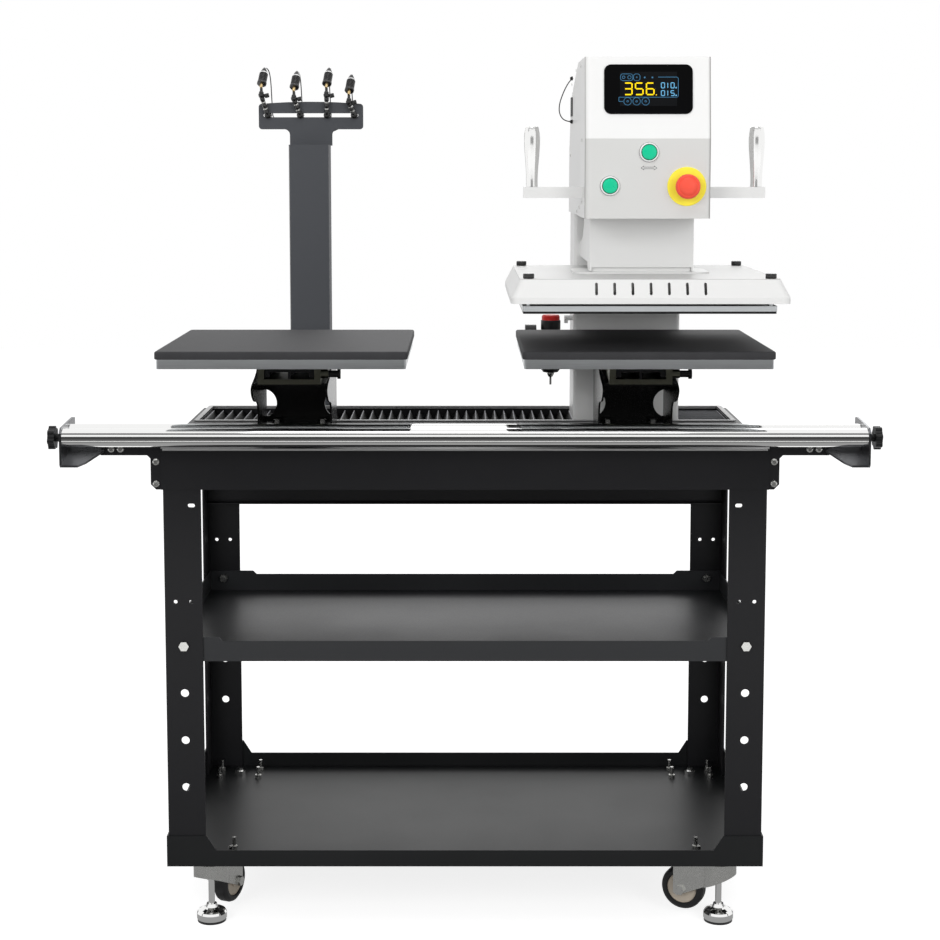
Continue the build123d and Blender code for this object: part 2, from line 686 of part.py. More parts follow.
def make_wheel(spot):
    """Tyred wheel with a dished hub and a bore that runs on the axle."""
    axle_z = WHEEL_R + WHEEL_LIFT
    half = WHEEL_WIDTH / 2
    bore = AXLE_R + RUNNING
    rim = WHEEL_R - 9
    side = [(bore, half + 1), (HUB_R, half + 1), (HUB_R, half - 4), (rim - 3, half - 4)]
    side += [(rim - 1, half - 0.5), (rim, half - 0.5), (rim, half), (WHEEL_R - 5, half)]
    side += [(WHEEL_R - 1.5, half - 2.5), (WHEEL_R, half - 6)]
    profile = side + [(r, -z) for r, z in reversed(side)]
    wheel = Pos(CASTER_TRAIL, 0, axle_z) * Rot(90, 0, 0) * turned(profile, 0, 0, 0)
    return in_caster(spot, wheel)


def brake_pivot():
    """Place of the brake pedal's pin in the fork, along the trail and in height."""
    return (52.0, TRAY_Z - RACE_DROP - TOUCH - 12)


def make_brake_pedal():
    """Pressed pedal over the wheel of the front left caster, on a pin in the fork's cheeks."""
    x, z = brake_pivot()
    half = FORK_INNER / 2 - TOUCH
    outline = [(x - 4, z - 2), (x - 5, z + 3), (x, z + 6), (x + 22, z + 5), (x + 47, z - 8), (x + 46, z - 12)]
    outline += [(x + 24, z), (x + 5, z - 2)]
    pedal = sheet_xz(outline, (-half, half))
    pin = half + TOUCH + FORK_SHEET
    return in_caster(0, pedal + rod_y(x, z + 1, BRAKE_PIN_R, (-pin, pin)))


# Trough, bellows and shuttle drive
def make_trough_frame():
    """Raised rim with round corners, round the bellows trough."""
    z = (DECK_Z, DECK_Z + RIM_THICK)
    y = (TROUGH_FRONT_Y + TROUGH_REAR_Y) / 2
    outer = pad_plate(0, y, 2 * (TROUGH_HALF + TROUGH_RIM), TROUGH_DEPTH + 2 * TROUGH_RIM, z, 6)
    return outer - pad_plate(0, y, 2 * TROUGH_HALF, TROUGH_DEPTH, (z[0] - 1, z[1] + 1), 3)


def make_bellows(x):
    """Accordion cover: one strip folded up and down along X."""
    top = DECK_Z - 1
    step = (x[1] - x[0]) / (2 * BELLOWS_FOLDS)
    crest = []
    for fold in range(2 * BELLOWS_FOLDS + 1):
        crest.append((x[0] + step * fold, top - (BELLOWS_HEIGHT if fold % 2 else BELLOWS_SHALLOW)))
    under = [(px, pz - BELLOWS_CLOTH) for px, pz in reversed(crest)]
    return sheet_xz(crest + under, (TROUGH_FRONT_Y + 2, TROUGH_REAR_Y - 2))


def rail_ys():
    """Y of the front rail, the cylinder and the rear rail."""
    middle = COLUMN_FRONT_Y + COLUMN_DEPTH / 2
    return (middle - RAIL_SPACING / 2, middle, middle + RAIL_SPACING / 2)


def drive_end():
    """Distance of the rails' ends from the middle, just inside the legs."""
    return CART_WIDTH / 2 - LEG_SHEET - TOUCH


def end_block(side, y, width, low):
    """Block at one end of a rail, hung from the deck just outside the trough."""
    x = sorted((side * drive_end(), side * (TROUGH_HALF + TOUCH)))
    return block(x, around(y, width), (low, DECK_LOW))


def make_shuttle_rails():
    """Two round rails, each with an end block that hangs from the deck."""
    end = drive_end()
    solids = []
    for y in (rail_ys()[0], rail_ys()[2]):
        rail = rod_x(y, RAIL_Z, RAIL_R, (-end, end))
        for side in (-1, 1):
            rail += end_block(side, y, RAIL_BLOCK, RAIL_Z - RAIL_BLOCK / 2)
        solids.append(rail)
    return solids


def make_shuttle_cylinder():
    """Rodless air cylinder that drives the shuttle, with square end caps."""
    end = drive_end()
    y = rail_ys()[1]
    tube = rod_x(y, RAIL_Z, CYLINDER_R, (-end, end))
    for side in (-1, 1):
        tube += end_block(side, y, CYLINDER_BLOCK, RAIL_Z - CYLINDER_BLOCK / 2 + 1)
    return tube


def make_carriage():
    """Carriage plate with four bearing blocks on the rails and a driver on the cylinder."""
    half = COLUMN_WIDTH / 2 - 2.5
    high = carriage_top()
    low = high - CARRIAGE_PLATE
    rails = (rail_ys()[0], rail_ys()[2])
    body = block(around(HOME_X, 2 * half), (TROUGH_FRONT_Y + 2, TROUGH_REAR_Y - 2), (low, high))
    for rail_y in rails:
        for side in (-1, 1):
            x = around(HOME_X + side * (half - BEARING_LENGTH / 2), BEARING_LENGTH)
            body += block(x, around(rail_y, RAIL_BLOCK), (RAIL_Z - RAIL_BLOCK / 2 - 1, low))
    x = around(HOME_X, BEARING_LENGTH)
    body += block(x, around(rail_ys()[1], CYLINDER_BLOCK), (RAIL_Z - CYLINDER_BLOCK / 2, low))
    across = around(HOME_X, 2 * half + 2)
    for rail_y in rails:
        body -= rod_x(rail_y, RAIL_Z, RAIL_R + RUNNING, across)
    return body - rod_x(rail_ys()[1], RAIL_Z, CYLINDER_R + RUNNING, across)


def carriage_top():
    """Height of the carriage plate's upper face, a little below the deck."""
    return DECK_Z - CARRIAGE_DROP


def make_column():
    """Hollow upright with round edges and an open foot."""
    low = carriage_top()
    y = COLUMN_FRONT_Y + COLUMN_DEPTH / 2
    width, depth = COLUMN_WIDTH - 2 * COLUMN_WALL, COLUMN_DEPTH - 2 * COLUMN_WALL
    outer = pad_plate(HOME_X, y, COLUMN_WIDTH, COLUMN_DEPTH, (low, HEAD_BASE_Z), 6)
    return outer - pad_plate(HOME_X, y, width, depth, (low - 1, HEAD_BASE_Z - COLUMN_WALL), 3)


def make_power_inlet():
    """Three-pin appliance inlet set in the column's rear face."""
    y = COLUMN_FRONT_Y + COLUMN_DEPTH
    z = DECK_Z + 93
    x = HOME_X - COLUMN_WIDTH / 4
    body = block(around(x, 48), (y, y + 3), around(z, 30))
    well = block(around(x, 26), (y + 1, y + 4), around(z, 18))
    return body - well


# Stations
def make_pad(x):
    """Silicone pad with round corners and edges."""
    pad = pad_plate(x, STATION_Y, PAD_SIZE, PAD_SIZE, (PAD_LOW, PAD_TOP_Z), PAD_CORNER)
    rim = pad.faces().sort_by(Axis.Z)[-1].edges()
    return fillet(rim, 1.5)


def socket_y():
    """Y limits of a socket, from the pedestal's front bulge back."""
    return (PEDESTAL_FRONT_Y + 4, PEDESTAL_FRONT_Y + 4 + SOCKET_DEPTH)


def make_platen(x):
    """Aluminium lower platen with a thin carrier plate, a stop stub and the tongue for the socket."""
    size = PAD_SIZE - 2 * PLATEN_INSET
    plate = pad_plate(x, STATION_Y, size, size, (PLATEN_LOW, PAD_LOW), PAD_CORNER - PLATEN_INSET)
    low = PLATEN_LOW - CARRIER_THICK
    plate += block(around(x - CARRIER_SHIFT, CARRIER_WIDTH), socket_y(), (low, PLATEN_LOW))
    stub_x = x - CARRIER_SHIFT - CARRIER_WIDTH / 2 + CARRIER_STUB_R + 5
    plate += rod_z(stub_x, socket_y()[0] + 2 * CARRIER_STUB_R, CARRIER_STUB_R, (low - 4, low))
    run = (socket_y()[0] + 3, socket_y()[1] - 3)
    tongue = block(around(x, TONGUE_WIDTH), run, (TONGUE_LOW, low))
    tongue -= block(around(x, TONGUE_WIDTH - 16), socket_y(), (TONGUE_LOW - 1, TONGUE_LOW + 8))
    plate += tongue
    plate += block(around(x, TONGUE_WEB), run, (SOCKET_LOW + SOCKET_FLOOR + TOUCH, TONGUE_LOW + 8))
    edge = x + TONGUE_WIDTH / 2
    return plate - rod_x(plunger_y(), PLUNGER_Z, PLUNGER_R + EASY, (edge - 9, edge + 1))


def plunger_y():
    """Y of the spring plungers, near the sockets' front ends."""
    return socket_y()[0] + PLUNGER_SETBACK


def make_sockets():
    """Channel on each pedestal that takes a platen's tongue, with the plunger's barrel."""
    solids = []
    high = PLATEN_LOW - CARRIER_THICK - TOUCH
    for x in STATIONS:
        channel = block(around(x, SOCKET_WIDTH), socket_y(), (SOCKET_LOW, high))
        y = (socket_y()[0] - 1, socket_y()[1] + 1)
        channel -= block(around(x, TONGUE_WIDTH + 2 * TOUCH), y, (SOCKET_LOW + SOCKET_FLOOR, high + 1))
        side = x + SOCKET_WIDTH / 2
        channel += rod_x(plunger_y(), PLUNGER_Z, 7, (side - 3, side + 12))
        channel -= rod_x(plunger_y(), PLUNGER_Z, PLUNGER_R + RUNNING, (side - 12, side + 13))
        solids.append(channel)
    return group(*solids)


def make_plunger(x):
    """Spring plunger with a flanged pull knob."""
    side = x + SOCKET_WIDTH / 2
    y = plunger_y()
    pin = rod_x(y, PLUNGER_Z, PLUNGER_R, (x + TONGUE_WIDTH / 2 - 7, side + 26))
    pin += rod_x(y, PLUNGER_Z, 5.5, (side + 12 + TOUCH, side + 26))
    return pin + rod_x(y, PLUNGER_Z, 8, (side + 26, side + 31))


def pedestal_cheek():
    """Side outline of a pedestal's cheek, its front edge waved."""
    front = PEDESTAL_FRONT_Y
    high = PEDESTAL_TOP_Z
    rise = high - DECK_Z
    with BuildSketch(Plane.YZ) as face:
        with BuildLine():
            a = Line((PEDESTAL_REAR_Y, DECK_Z), (PEDESTAL_REAR_Y, high))
            b = Line(a @ 1, (front + 98, high))
            wave = [(front + 40, DECK_Z + 0.84 * rise), (front, DECK_Z + 0.73 * rise)]
            wave += [(front + 30, DECK_Z + 0.55 * rise), (front + 88, DECK_Z + 0.4 * rise)]
            wave += [(front + 94, DECK_Z + 0.2 * rise)]
            c = Spline(b @ 1, *wave, tangents=((-1, -0.6), (0, -1)))
            d = Line(c @ 1, (front + 94, DECK_Z))
            Line(d @ 1, a @ 0)
        make_face()
    return face.sketch


def make_pedestal(x):
    """Folded pedestal: two cheeks with a waved front edge, a back with hourglass windows, a base."""
    cheek = pedestal_cheek()
    front = PEDESTAL_FRONT_Y
    clear = PEDESTAL_HALF - PEDESTAL_SHEET
    solid = Pos(x - PEDESTAL_HALF, 0, 0) * extrude(cheek, PEDESTAL_SHEET)
    solid += Pos(x + clear, 0, 0) * extrude(cheek, PEDESTAL_SHEET)
    inside = (x - clear, x + clear)
    back = PEDESTAL_REAR_Y - PEDESTAL_SHEET
    solid += block(inside, (back, PEDESTAL_REAR_Y), (DECK_Z, SOCKET_LOW))
    solid += block(inside, (front + 20, back), (SOCKET_LOW - 4, SOCKET_LOW))
    solid += block(inside, (front + 94, back), (DECK_Z, DECK_Z + 4))
    through = (back - 15, back + 4)
    window_z = DECK_Z + 0.38 * (SOCKET_LOW - DECK_Z)
    for side in (-1, 1):
        window = rod_y(x + side * (clear + 7), window_z, WINDOW_R, through)
        wide = sorted((x + side * (clear - 18), x + side * clear))
        solid -= window & block(wide, through, (DECK_Z + 12, SOCKET_LOW - 27))
    for bolt_x, bolt_y in pedestal_bolt_spots(x):
        solid -= rod_z(bolt_x, bolt_y, 4 + EASY, (DECK_Z - 1, DECK_Z + 5))
    return solid


def pedestal_bolt_spots(x):
    """Places of a pedestal's four bolts."""
    y = PEDESTAL_REAR_Y - 60
    return [(x + a * 38, y + b * 38) for a in (-1, 1) for b in (-1, 1)]


def make_pedestal_bolts():
    """Bolts that hold the pedestals to the deck."""
    solids = []
    for x in STATIONS:
        for bolt_x, bolt_y in pedestal_bolt_spots(x):
            solids.append(Pos(bolt_x, bolt_y, DECK_Z + 4) * extrude(RegularPolygon(7.5, 6), 5))
    return solids


# Head
def head_outline(inset):
    """Side outline of the head as (y, z) points, drawn in by an inset."""
    front = HEAD_FRONT_Y + inset
    base = HEAD_BASE_Z + inset
    top = HEAD_TOP_Z - inset
    points = [(front, base), (front, HEAD_BEND_Z), (front + HEAD_LEAN, top)]
    for place, (along, rise) in enumerate(HEAD_BACK):
        y = HEAD_FRONT_Y + along * HEAD_DEPTH
        z = HEAD_BASE_Z + rise * HEAD_HEIGHT
        points.append((y, top) if place == 0 else (y - inset, z - inset))
    return points + [(HEAD_FRONT_Y + HEAD_DEPTH - inset, base)]


def front_zone(depth):
    """Side outline of the strip that belongs to the front panel, depth measured from its face."""
    f = HEAD_FRONT_Y
    low, high = HEAD_BASE_Z - 1, HEAD_TOP_Z + 1
    back = [(f + depth, low), (f + depth, HEAD_BEND_Z), (f + HEAD_LEAN + depth, high)]
    return [(f - 1, low), *back, (f - 1, high)]


def make_control_housing():
    """Sheet housing with a sloping back, open at the front and over the neck."""
    outer = sheet_yz(head_outline(0), around(HOME_X, HEAD_WIDTH))
    inner = sheet_yz(head_outline(HEAD_WALL), around(HOME_X, HEAD_WIDTH - 2 * HEAD_WALL))
    shell = outer - inner - sheet_yz(front_zone(PANEL_RETURN + TOUCH), around(HOME_X, HEAD_WIDTH + 2))
    y = (NECK_FRONT_Y + 3, COLUMN_FRONT_Y - 91)
    return shell - block(around(HOME_X, NECK_WIDTH - 12), y, (HEAD_BASE_Z - 1, HEAD_BASE_Z + HEAD_WALL + 1))


def panel_offset(height):
    """Y of the panel's front face at a height."""
    if height <= HEAD_BEND_Z:
        return HEAD_FRONT_Y
    return HEAD_FRONT_Y + HEAD_LEAN * (height - HEAD_BEND_Z) / (HEAD_TOP_Z - HEAD_BEND_Z)


def make_control_panel():
    """Bent front panel with rounded side returns, drilled for the buttons."""
    wide = around(HOME_X, HEAD_WIDTH)
    outer = sheet_yz(head_outline(0), wide) & sheet_yz(front_zone(PANEL_RETURN), wide)
    inner = sheet_yz(head_outline(HEAD_WALL), around(HOME_X, HEAD_WIDTH - 2 * HEAD_WALL))
    corners = []
    for edge in outer.edges():
        middle = edge.center()
        on_side = abs(abs(middle.X - HOME_X) - HEAD_WIDTH / 2) < 0.01
        if on_side and abs(middle.Y - panel_offset(middle.Z)) < 0.01 and edge.length > 50:
            corners.append(edge)
    panel = fillet(corners, PANEL_BEND) - inner
    f = HEAD_FRONT_Y
    for place in (BUTTON_HIGH, BUTTON_LOW, ESTOP):
        x, z = panel_place(place)
        panel -= rod_y(x, z, 11.2, (f - 1, f + HEAD_WALL + 1))
    return panel


def panel_place(place):
    """X and Z of a control, from its offset to the right and its share of the head's height."""
    return HOME_X + place[0], HEAD_BASE_Z + place[1] * HEAD_HEIGHT


def lean_angle():
    """Backward tilt of the upper panel, in degrees."""
    return math.degrees(math.atan2(HEAD_LEAN, HEAD_TOP_Z - HEAD_BEND_Z))


def make_display():
    """Glass of the display, laid on the leaning upper panel."""
    z = HEAD_BASE_Z + DISPLAY_PLACE * HEAD_HEIGHT
    glass = extrude(RectangleRounded(DISPLAY_WIDTH, DISPLAY_HEIGHT, DISPLAY_CORNER), DISPLAY_GLASS)
    place = Pos(HOME_X, panel_offset(z) - 0.02, z) * Rot(90 - lean_angle(), 0, 0)
    return place * glass


def make_button_bezels():
    """Bezels with threaded bodies for the two push buttons, and the emergency stop's disc and collar."""
    f = HEAD_FRONT_Y
    solids = []
    for place in (BUTTON_HIGH, BUTTON_LOW):
        x, z = panel_place(place)
        ring = rod_y(x, z, BEZEL_R, (f - 4, f)) + rod_y(x, z, 11, (f, f + 40))
        ring -= rod_y(x, z, BUTTON_R + EASY, (f - 5, f - 1))
        solids.append(ring - rod_y(x, z, 7 + EASY, (f - 1.5, f + 20)))
    x, z = panel_place(ESTOP)
    disc = rod_y(x, z, ESTOP_RING_R, (f - 2, f)) + rod_y(x, z, 14, (f - 9, f - 2))
    disc += rod_y(x, z, 11, (f, f + 45))
    solids.append(disc - rod_y(x, z, 8 + EASY, (f - 10, f + 20)))
    return group(*solids)


def make_button(place):
    """Push button cap with its plunger, standing a little proud of the bezel."""
    x, z = panel_place(place)
    f = HEAD_FRONT_Y
    return rod_y(x, z, BUTTON_R, (f - 5.5, f - 4)) + rod_y(x, z, 7, (f - 4.2, f + 14))


def make_estop_button():
    """Mushroom button of the emergency stop."""
    x, z = panel_place(ESTOP)
    f = HEAD_FRONT_Y
    r = ESTOP_R
    head = [(0, 0), (8, 0), (8, -1), (r - 2, -1), (r, 1), (r, 6), (r - 3, 9.5), (r - 8, 11.2), (0, 11.8)]
    cap = Pos(x, f - ESTOP_REACH + 12, z) * Rot(90, 0, 0) * turned(head, 0, 0, 0)
    return cap + rod_y(x, z, 8, (f - ESTOP_REACH + 12, f + 12))


def make_neck_housing():
    """Head arm between column and ram: front sheet, two cheeks and a drilled top plate."""
    half = NECK_WIDTH / 2
    top = HEAD_BASE_Z
    rear = COLUMN_FRONT_Y
    low = NECK_BASE_Z - 6
    sweep_low = NECK_BASE_Z + 30.6
    cheek = [(NECK_FRONT_Y, low), (NECK_FRONT_Y + 42, low), (NECK_FRONT_Y + 54, low + 4)]
    cheek += [(NECK_FRONT_Y + 60, low + 12), (rear, low + 12), (rear, sweep_low)]
    sweep_steps = 8
    for step in range(sweep_steps + 1):
        angle = math.pi / 2 * step / sweep_steps
        y = rear - 7 - 108 * math.sin(angle)
        cheek.append((y, sweep_low + (top - sweep_low) * (1 - math.cos(angle))))
    cheek.append((NECK_FRONT_Y, top))
    solid = None
    for side in (-1, 1):
        x = sorted((HOME_X + side * half, HOME_X + side * (half - NECK_WALL)))
        piece = sheet_yz(cheek, x)
        solid = piece if solid is None else solid + piece
    clear = around(HOME_X, 2 * (half - NECK_WALL))
    solid += block(clear, (NECK_FRONT_Y, NECK_FRONT_Y + NECK_WALL), (NECK_BASE_Z, top))
    solid += block(clear, (NECK_FRONT_Y + NECK_WALL, rear - 115), (top - 8, top))
    solid += block(clear, (rear - 6, rear), (NECK_BASE_Z + 6, sweep_low))
    for x, y in guide_spots():
        solid -= rod_z(x, y, GUIDE_R + RUNNING, (top - 9, top + 1))
    return solid - rod_z(HOME_X, STATION_Y, ROD_R + RUNNING, (top - 9, top + 1))


def guide_spots():
    """Places of the four guide rods."""
    return [(HOME_X + a * GUIDE_X, STATION_Y + b * GUIDE_Y) for a in (-1, 1) for b in (-1, 1)]


def make_ram():
    """Hollow ram box with four guide rods up through the neck's top plate."""
    box = block(around(HOME_X, RAM_WIDTH), around(STATION_Y, RAM_DEPTH), (RAM_LOW, RAM_TOP))
    x = around(HOME_X, RAM_WIDTH - 2 * RAM_WALL)
    box -= block(x, around(STATION_Y, RAM_DEPTH - 2 * RAM_WALL), (RAM_LOW + 6, RAM_TOP - 8))
    for x, y in guide_spots():
        box += rod_z(x, y, GUIDE_R, (RAM_TOP - 8, RAM_TOP + 85))
    return box


def make_ram_flange():
    """Round-cornered flange between ram and cover."""
    return pad_plate(HOME_X, STATION_Y, FLANGE_WIDTH, FLANGE_DEPTH, (COVER_TOP_Z, RAM_LOW), 24)


def piston_low():
    """Height of the piston's lower face with the press open."""
    return HEAD_BASE_Z + CYLINDER_HEIGHT - 8 - 16 - 11


def make_piston_rod():
    """Piston and rod of the press cylinder."""
    low = piston_low()
    rod = rod_z(HOME_X, STATION_Y, ROD_R, (RAM_TOP, low))
    return rod + rod_z(HOME_X, STATION_Y, PISTON_R - RUNNING, (low, low + 16))


def make_press_cylinder():
    """Air cylinder that drives the ram, bored for the piston and its rod."""
    low = HEAD_BASE_Z
    body = rod_z(HOME_X, STATION_Y, PISTON_R + 5, (low, low + CYLINDER_HEIGHT))
    body -= rod_z(HOME_X, STATION_Y, PISTON_R, (low + 10, low + CYLINDER_HEIGHT - 8))
    return body - rod_z(HOME_X, STATION_Y, ROD_R + RUNNING, (low - 1, low + 11))


def cover_loft(size, top_size, z_low, z_lip, z_top, r):
    """Tray-shaped cover: straight lip, then sides that lean in to the top."""
    lip = extrude(Pos(HOME_X, STATION_Y, z_low) * RectangleRounded(size, size, r), z_lip - z_low)
    low_face = Pos(HOME_X, STATION_Y, z_lip) * RectangleRounded(size, size, r)
    top_face = Pos(HOME_X, STATION_Y, z_top) * RectangleRounded(top_size, top_size, r)
    return lip + loft([low_face, top_face])


def make_heat_cover():
    """Pressed cover of the heat platen, with a row of slots in its front slope."""
    lip_top = COVER_LOW + COVER_LIP
    t = COVER_WALL
    size, top_size = COVER_SIZE - 2 * t, COVER_TOP_SIZE - 2 * t
    cover = cover_loft(COVER_SIZE, COVER_TOP_SIZE, COVER_LOW, lip_top, COVER_TOP_Z, 12)
    cover -= cover_loft(size, top_size, COVER_LOW - 1, lip_top, COVER_TOP_Z - t, 10)
    front = STATION_Y - COVER_SIZE / 2
    for step in range(SLOT_COUNT):
        x = HOME_X + (step - (SLOT_COUNT - 1) / 2) * SLOT_PITCH
        low, high = lip_top + 6, lip_top + 20
        cover -= block(around(x, SLOT_WIDTH), (front - 1, front + 30), (low, high))
        for z in (low, high):
            cover -= rod_y(x, z, SLOT_WIDTH / 2, (front - 1, front + 30))
    for x, y in stud_spots():
        cover -= rod_z(x, y, STUD_R + EASY, (COVER_TOP_Z - t - 1, COVER_TOP_Z + 1))
    return cover


def stud_spots():
    """Places of the four platen studs, under the cover knobs."""
    return [(HOME_X + a * STUD_REACH, STATION_Y + b * STUD_REACH) for a in (-1, 1) for b in (-1, 1)]


def make_cover_knobs():
    """Knurled cap nuts on the platen's studs."""
    solids = []
    low = COVER_TOP_Z
    for x, y in stud_spots():
        solids.append(rod_z(x, y, 8, (low, low + 8)) - rod_z(x, y, STUD_R + RUNNING, (low - 1, low + 5)))
    return group(*solids)


def make_heat_platen():
    """Heat platen: a coated sole under the aluminium plate, with four hanging studs."""
    step = HEAT_LOW + HEAT_STEP
    plate = pad_plate(HOME_X, STATION_Y, PAD_SIZE - 1.6, PAD_SIZE - 1.6, (HEAT_LOW, step), 3)
    plate += pad_plate(HOME_X, STATION_Y, PAD_SIZE, PAD_SIZE, (step, HEAT_TOP), 3)
    for x, y in stud_spots():
        plate += rod_z(x, y, STUD_R, (HEAT_TOP, COVER_TOP_Z + 5 - TOUCH))
    return plate


def make_heating_element():
    """Sheathed heating element laid in four runs on the platen."""
    r = 4.0
    z = HEAT_TOP + r
    half = 140.0
    pitch = 70.0
    points = []
    for step in range(5):
        y = STATION_Y + (step - 2) * pitch
        ends = [(HOME_X - half, y, z), (HOME_X + half, y, z)]
        points += ends if step % 2 == 0 else ends[::-1]
    path = FilletPolyline(*points, radius=18)
    section = Plane(origin=path @ 0, z_dir=path % 0) * Circle(r)
    return sweep(section, path=path)


def make_insulation():
    """Mineral blanket between the element and the cover."""
    low = HEAT_TOP + 8.4
    size = COVER_TOP_SIZE - 34
    blanket = pad_plate(HOME_X, STATION_Y, size, size, (low, COVER_TOP_Z - COVER_WALL - TOUCH), 8)
    for x, y in stud_spots():
        blanket -= rod_z(x, y, 5, (low - 1, COVER_TOP_Z))
    return blanket


def make_handle_arms():
    """Square arms on both sides of the housing, each with a pin for its grip."""
    solids = []
    for side in (-1, 1):
        x = sorted((HOME_X + side * HEAD_WIDTH / 2, HOME_X + side * (GRIP_X + 13)))
        arm = block(x, around(GRIP_Y, ARM_BAR), (ARM_BAR_Z, ARM_BAR_Z + ARM_BAR))
        high = ARM_BAR_Z + ARM_BAR
        arm += rod_z(HOME_X + side * GRIP_X, GRIP_Y, 5, (high, high + GRIP_LENGTH - 6))
        solids.append(arm)
    return group(*solids)


def make_grip(side):
    """Turned revolving grip, widest two thirds of the way up."""
    r = GRIP_R
    h = GRIP_LENGTH
    bore = 5 + RUNNING
    with BuildSketch(Plane.XZ) as face:
        with BuildLine():
            a = Line((bore, TOUCH), (r - 3.2, TOUCH))
            b = Spline(a @ 1, (r - 3.4, 12), (r - 0.3, 60), (r, 72), (r - 1.6, h - 6))
            c = ThreePointArc(b @ 1, (r - 3.4, h - 1.6), (r - 6.5, h))
            d = Line(c @ 1, (0, h))
            e = Line(d @ 1, (0, h - 5))
            g = Line(e @ 1, (bore, h - 5))
            Line(g @ 1, a @ 0)
        make_face()
    return Pos(HOME_X + side * GRIP_X, GRIP_Y, ARM_BAR_Z + ARM_BAR) * revolve(face.sketch, Axis.Z)


def make_filter_regulator():
    """Air filter regulator beside the column, with bracket, gauge, bowl and drain."""
    x, y = FILTER_X, FILTER_Y
    low, high = FILTER_Z, FILTER_Z + 44
    body = block(around(x, 38), around(y, 38), (low, high)) + rod_z(x, y, 12, (high, high + 4))
    drain = [(0, 0), (2, 0), (2, 13), (4, 14), (6.5, 19), (6.5, 23), (0, 23)]
    bowl = turned(drain, x, y, low - 46)
    bowl += turned([(0, 22), (13, 22), (16, 26), (17, 31), (17, 46), (0, 46)], x, y, low - 46)
    side = HOME_X - COLUMN_WIDTH / 2
    bracket = block((x + 19, side - 3), around(y, 30), (high - 8, high - 2))
    bracket += block((side - 3, side), around(y, 44), (low + 6, high))
    gauge = rod_x(y, high - 3, 5, (x - 25, x - 19)) + rod_x(y, high - 3, 18, (x - 44, x - 25))
    return body + bowl + bracket + gauge


def make_air_fitting():
    """Push-in elbow for the air hose, on the column beside the regulator."""
    side = HOME_X - COLUMN_WIDTH / 2
    z = FILTER_Z + 70
    return rod_x(FILTER_Y, z, 4.5, (side - 14, side)) + rod_z(side - 11, FILTER_Y, 3.2, (z - 9, z))


def make_regulator_knob():
    """Pull-up pressure knob with a narrower ring at its top."""
    profile = [(0, 0), (15, 0), (17, 2), (17, 17), (16, 18), (15.6, 18), (15.6, 24.5), (13.5, 27), (0, 27)]
    return turned(profile, FILTER_X, FILTER_Y, FILTER_Z + 48 + TOUCH)


# Laser post
def yoke_face():
    """Front of the yoke plate, which carries the post's back wall upwards."""
    return POST_FRONT_Y + POST_DEPTH - POST_WALL


def yoke_outline():
    """Front outline of the yoke plate about the post's middle: a T with round corners and a slot."""
    half = YOKE_WIDTH / 2
    stem = POST_WIDTH / 2 + 3
    low = POST_TOP_Z - 1
    with BuildSketch() as yoke:
        with BuildLine():
            a = Line((-stem, low), (-stem, YOKE_LOW_Z))
            b = Line(a @ 1, (-half, YOKE_LOW_Z))
            c = Line(b @ 1, (-half, YOKE_TOP_Z))
            d = ThreePointArc(c @ 1, (0, YOKE_TOP_Z + YOKE_CROWN), (half, YOKE_TOP_Z))
            e = Line(d @ 1, (half, YOKE_LOW_Z))
            g = Line(e @ 1, (stem, YOKE_LOW_Z))
            h = Line(g @ 1, (stem, low))
            Line(h @ 1, a @ 0)
        make_face()
        fillet([v for v in yoke.vertices() if abs(abs(v.X) - stem) < 1 and v.Y > POST_TOP_Z], 10)
        fillet([v for v in yoke.vertices() if abs(v.X) > half - 1], 6)
        with Locations((0, YOKE_SLOT_Z)):
            SlotOverall(2 * YOKE_SLOT_HALF, 2 * YOKE_SLOT_R, mode=Mode.SUBTRACT)
    return yoke.sketch


def make_laser_post():
    """Box post behind the deck, topped by a slotted yoke plate, with a foot plate on the rear apron."""
    x = STATIONS[0]
    y = (POST_FRONT_Y, POST_FRONT_Y + POST_DEPTH)
    w = POST_WALL
    post = block(around(x, POST_WIDTH), y, (POST_LOW_Z, POST_TOP_Z))
    post -= block(around(x, POST_WIDTH - 2 * w), (y[0] + w, y[1] - w), (POST_LOW_Z - 1, POST_TOP_Z - w))
    post += Pos(x, y[1], 0) * Rot(90, 0, 0) * extrude(yoke_outline(), w)
    return post + block(around(x, POST_FOOT), (REAR_Y, y[0]), (APRON_LOW + 4, DECK_Z - 4))


def make_laser_arms():
    """Clamp arms in the yoke's slot, each ending in a cup under its laser's ball."""
    solids = []
    y = yoke_face()
    for slot, ball, rise in zip(LASER_SLOTS, LASER_BALLS, LASER_BALL_RISE):
        x = STATIONS[0] + slot
        bx = STATIONS[0] + ball
        arm = rod_y(x, YOKE_SLOT_Z, 6, (y - 9, y)) + rod_y(x, YOKE_SLOT_Z, 3.2, (y, y + POST_WALL))
        arm += rod_y(x, YOKE_SLOT_Z, 6.5, (y + POST_WALL, y + 9))
        foot = Vector(x, y - 5, YOKE_SLOT_Z)
        cup = Vector(bx, y - 13, YOKE_SLOT_Z + rise - 5)
        link = cup - foot
        length = link.length
        plane = Plane(origin=foot, z_dir=link)
        arm += extrude(plane * Circle(3.4), length)
        arm += Pos(*cup) * Sphere(4.6) + rod_x(cup.Y, cup.Z - 2, 3.6, (cup.X + 2, cup.X + 12))
        arm -= Pos(*laser_ball(ball, rise)) * Sphere(LASER_BALL_R + EASY)
        solids.append(arm)
    return group(*solids)


def laser_ball(ball, rise):
    """Centre of a laser's ball."""
    return (STATIONS[0] + ball, yoke_face() - 13, YOKE_SLOT_Z + rise)


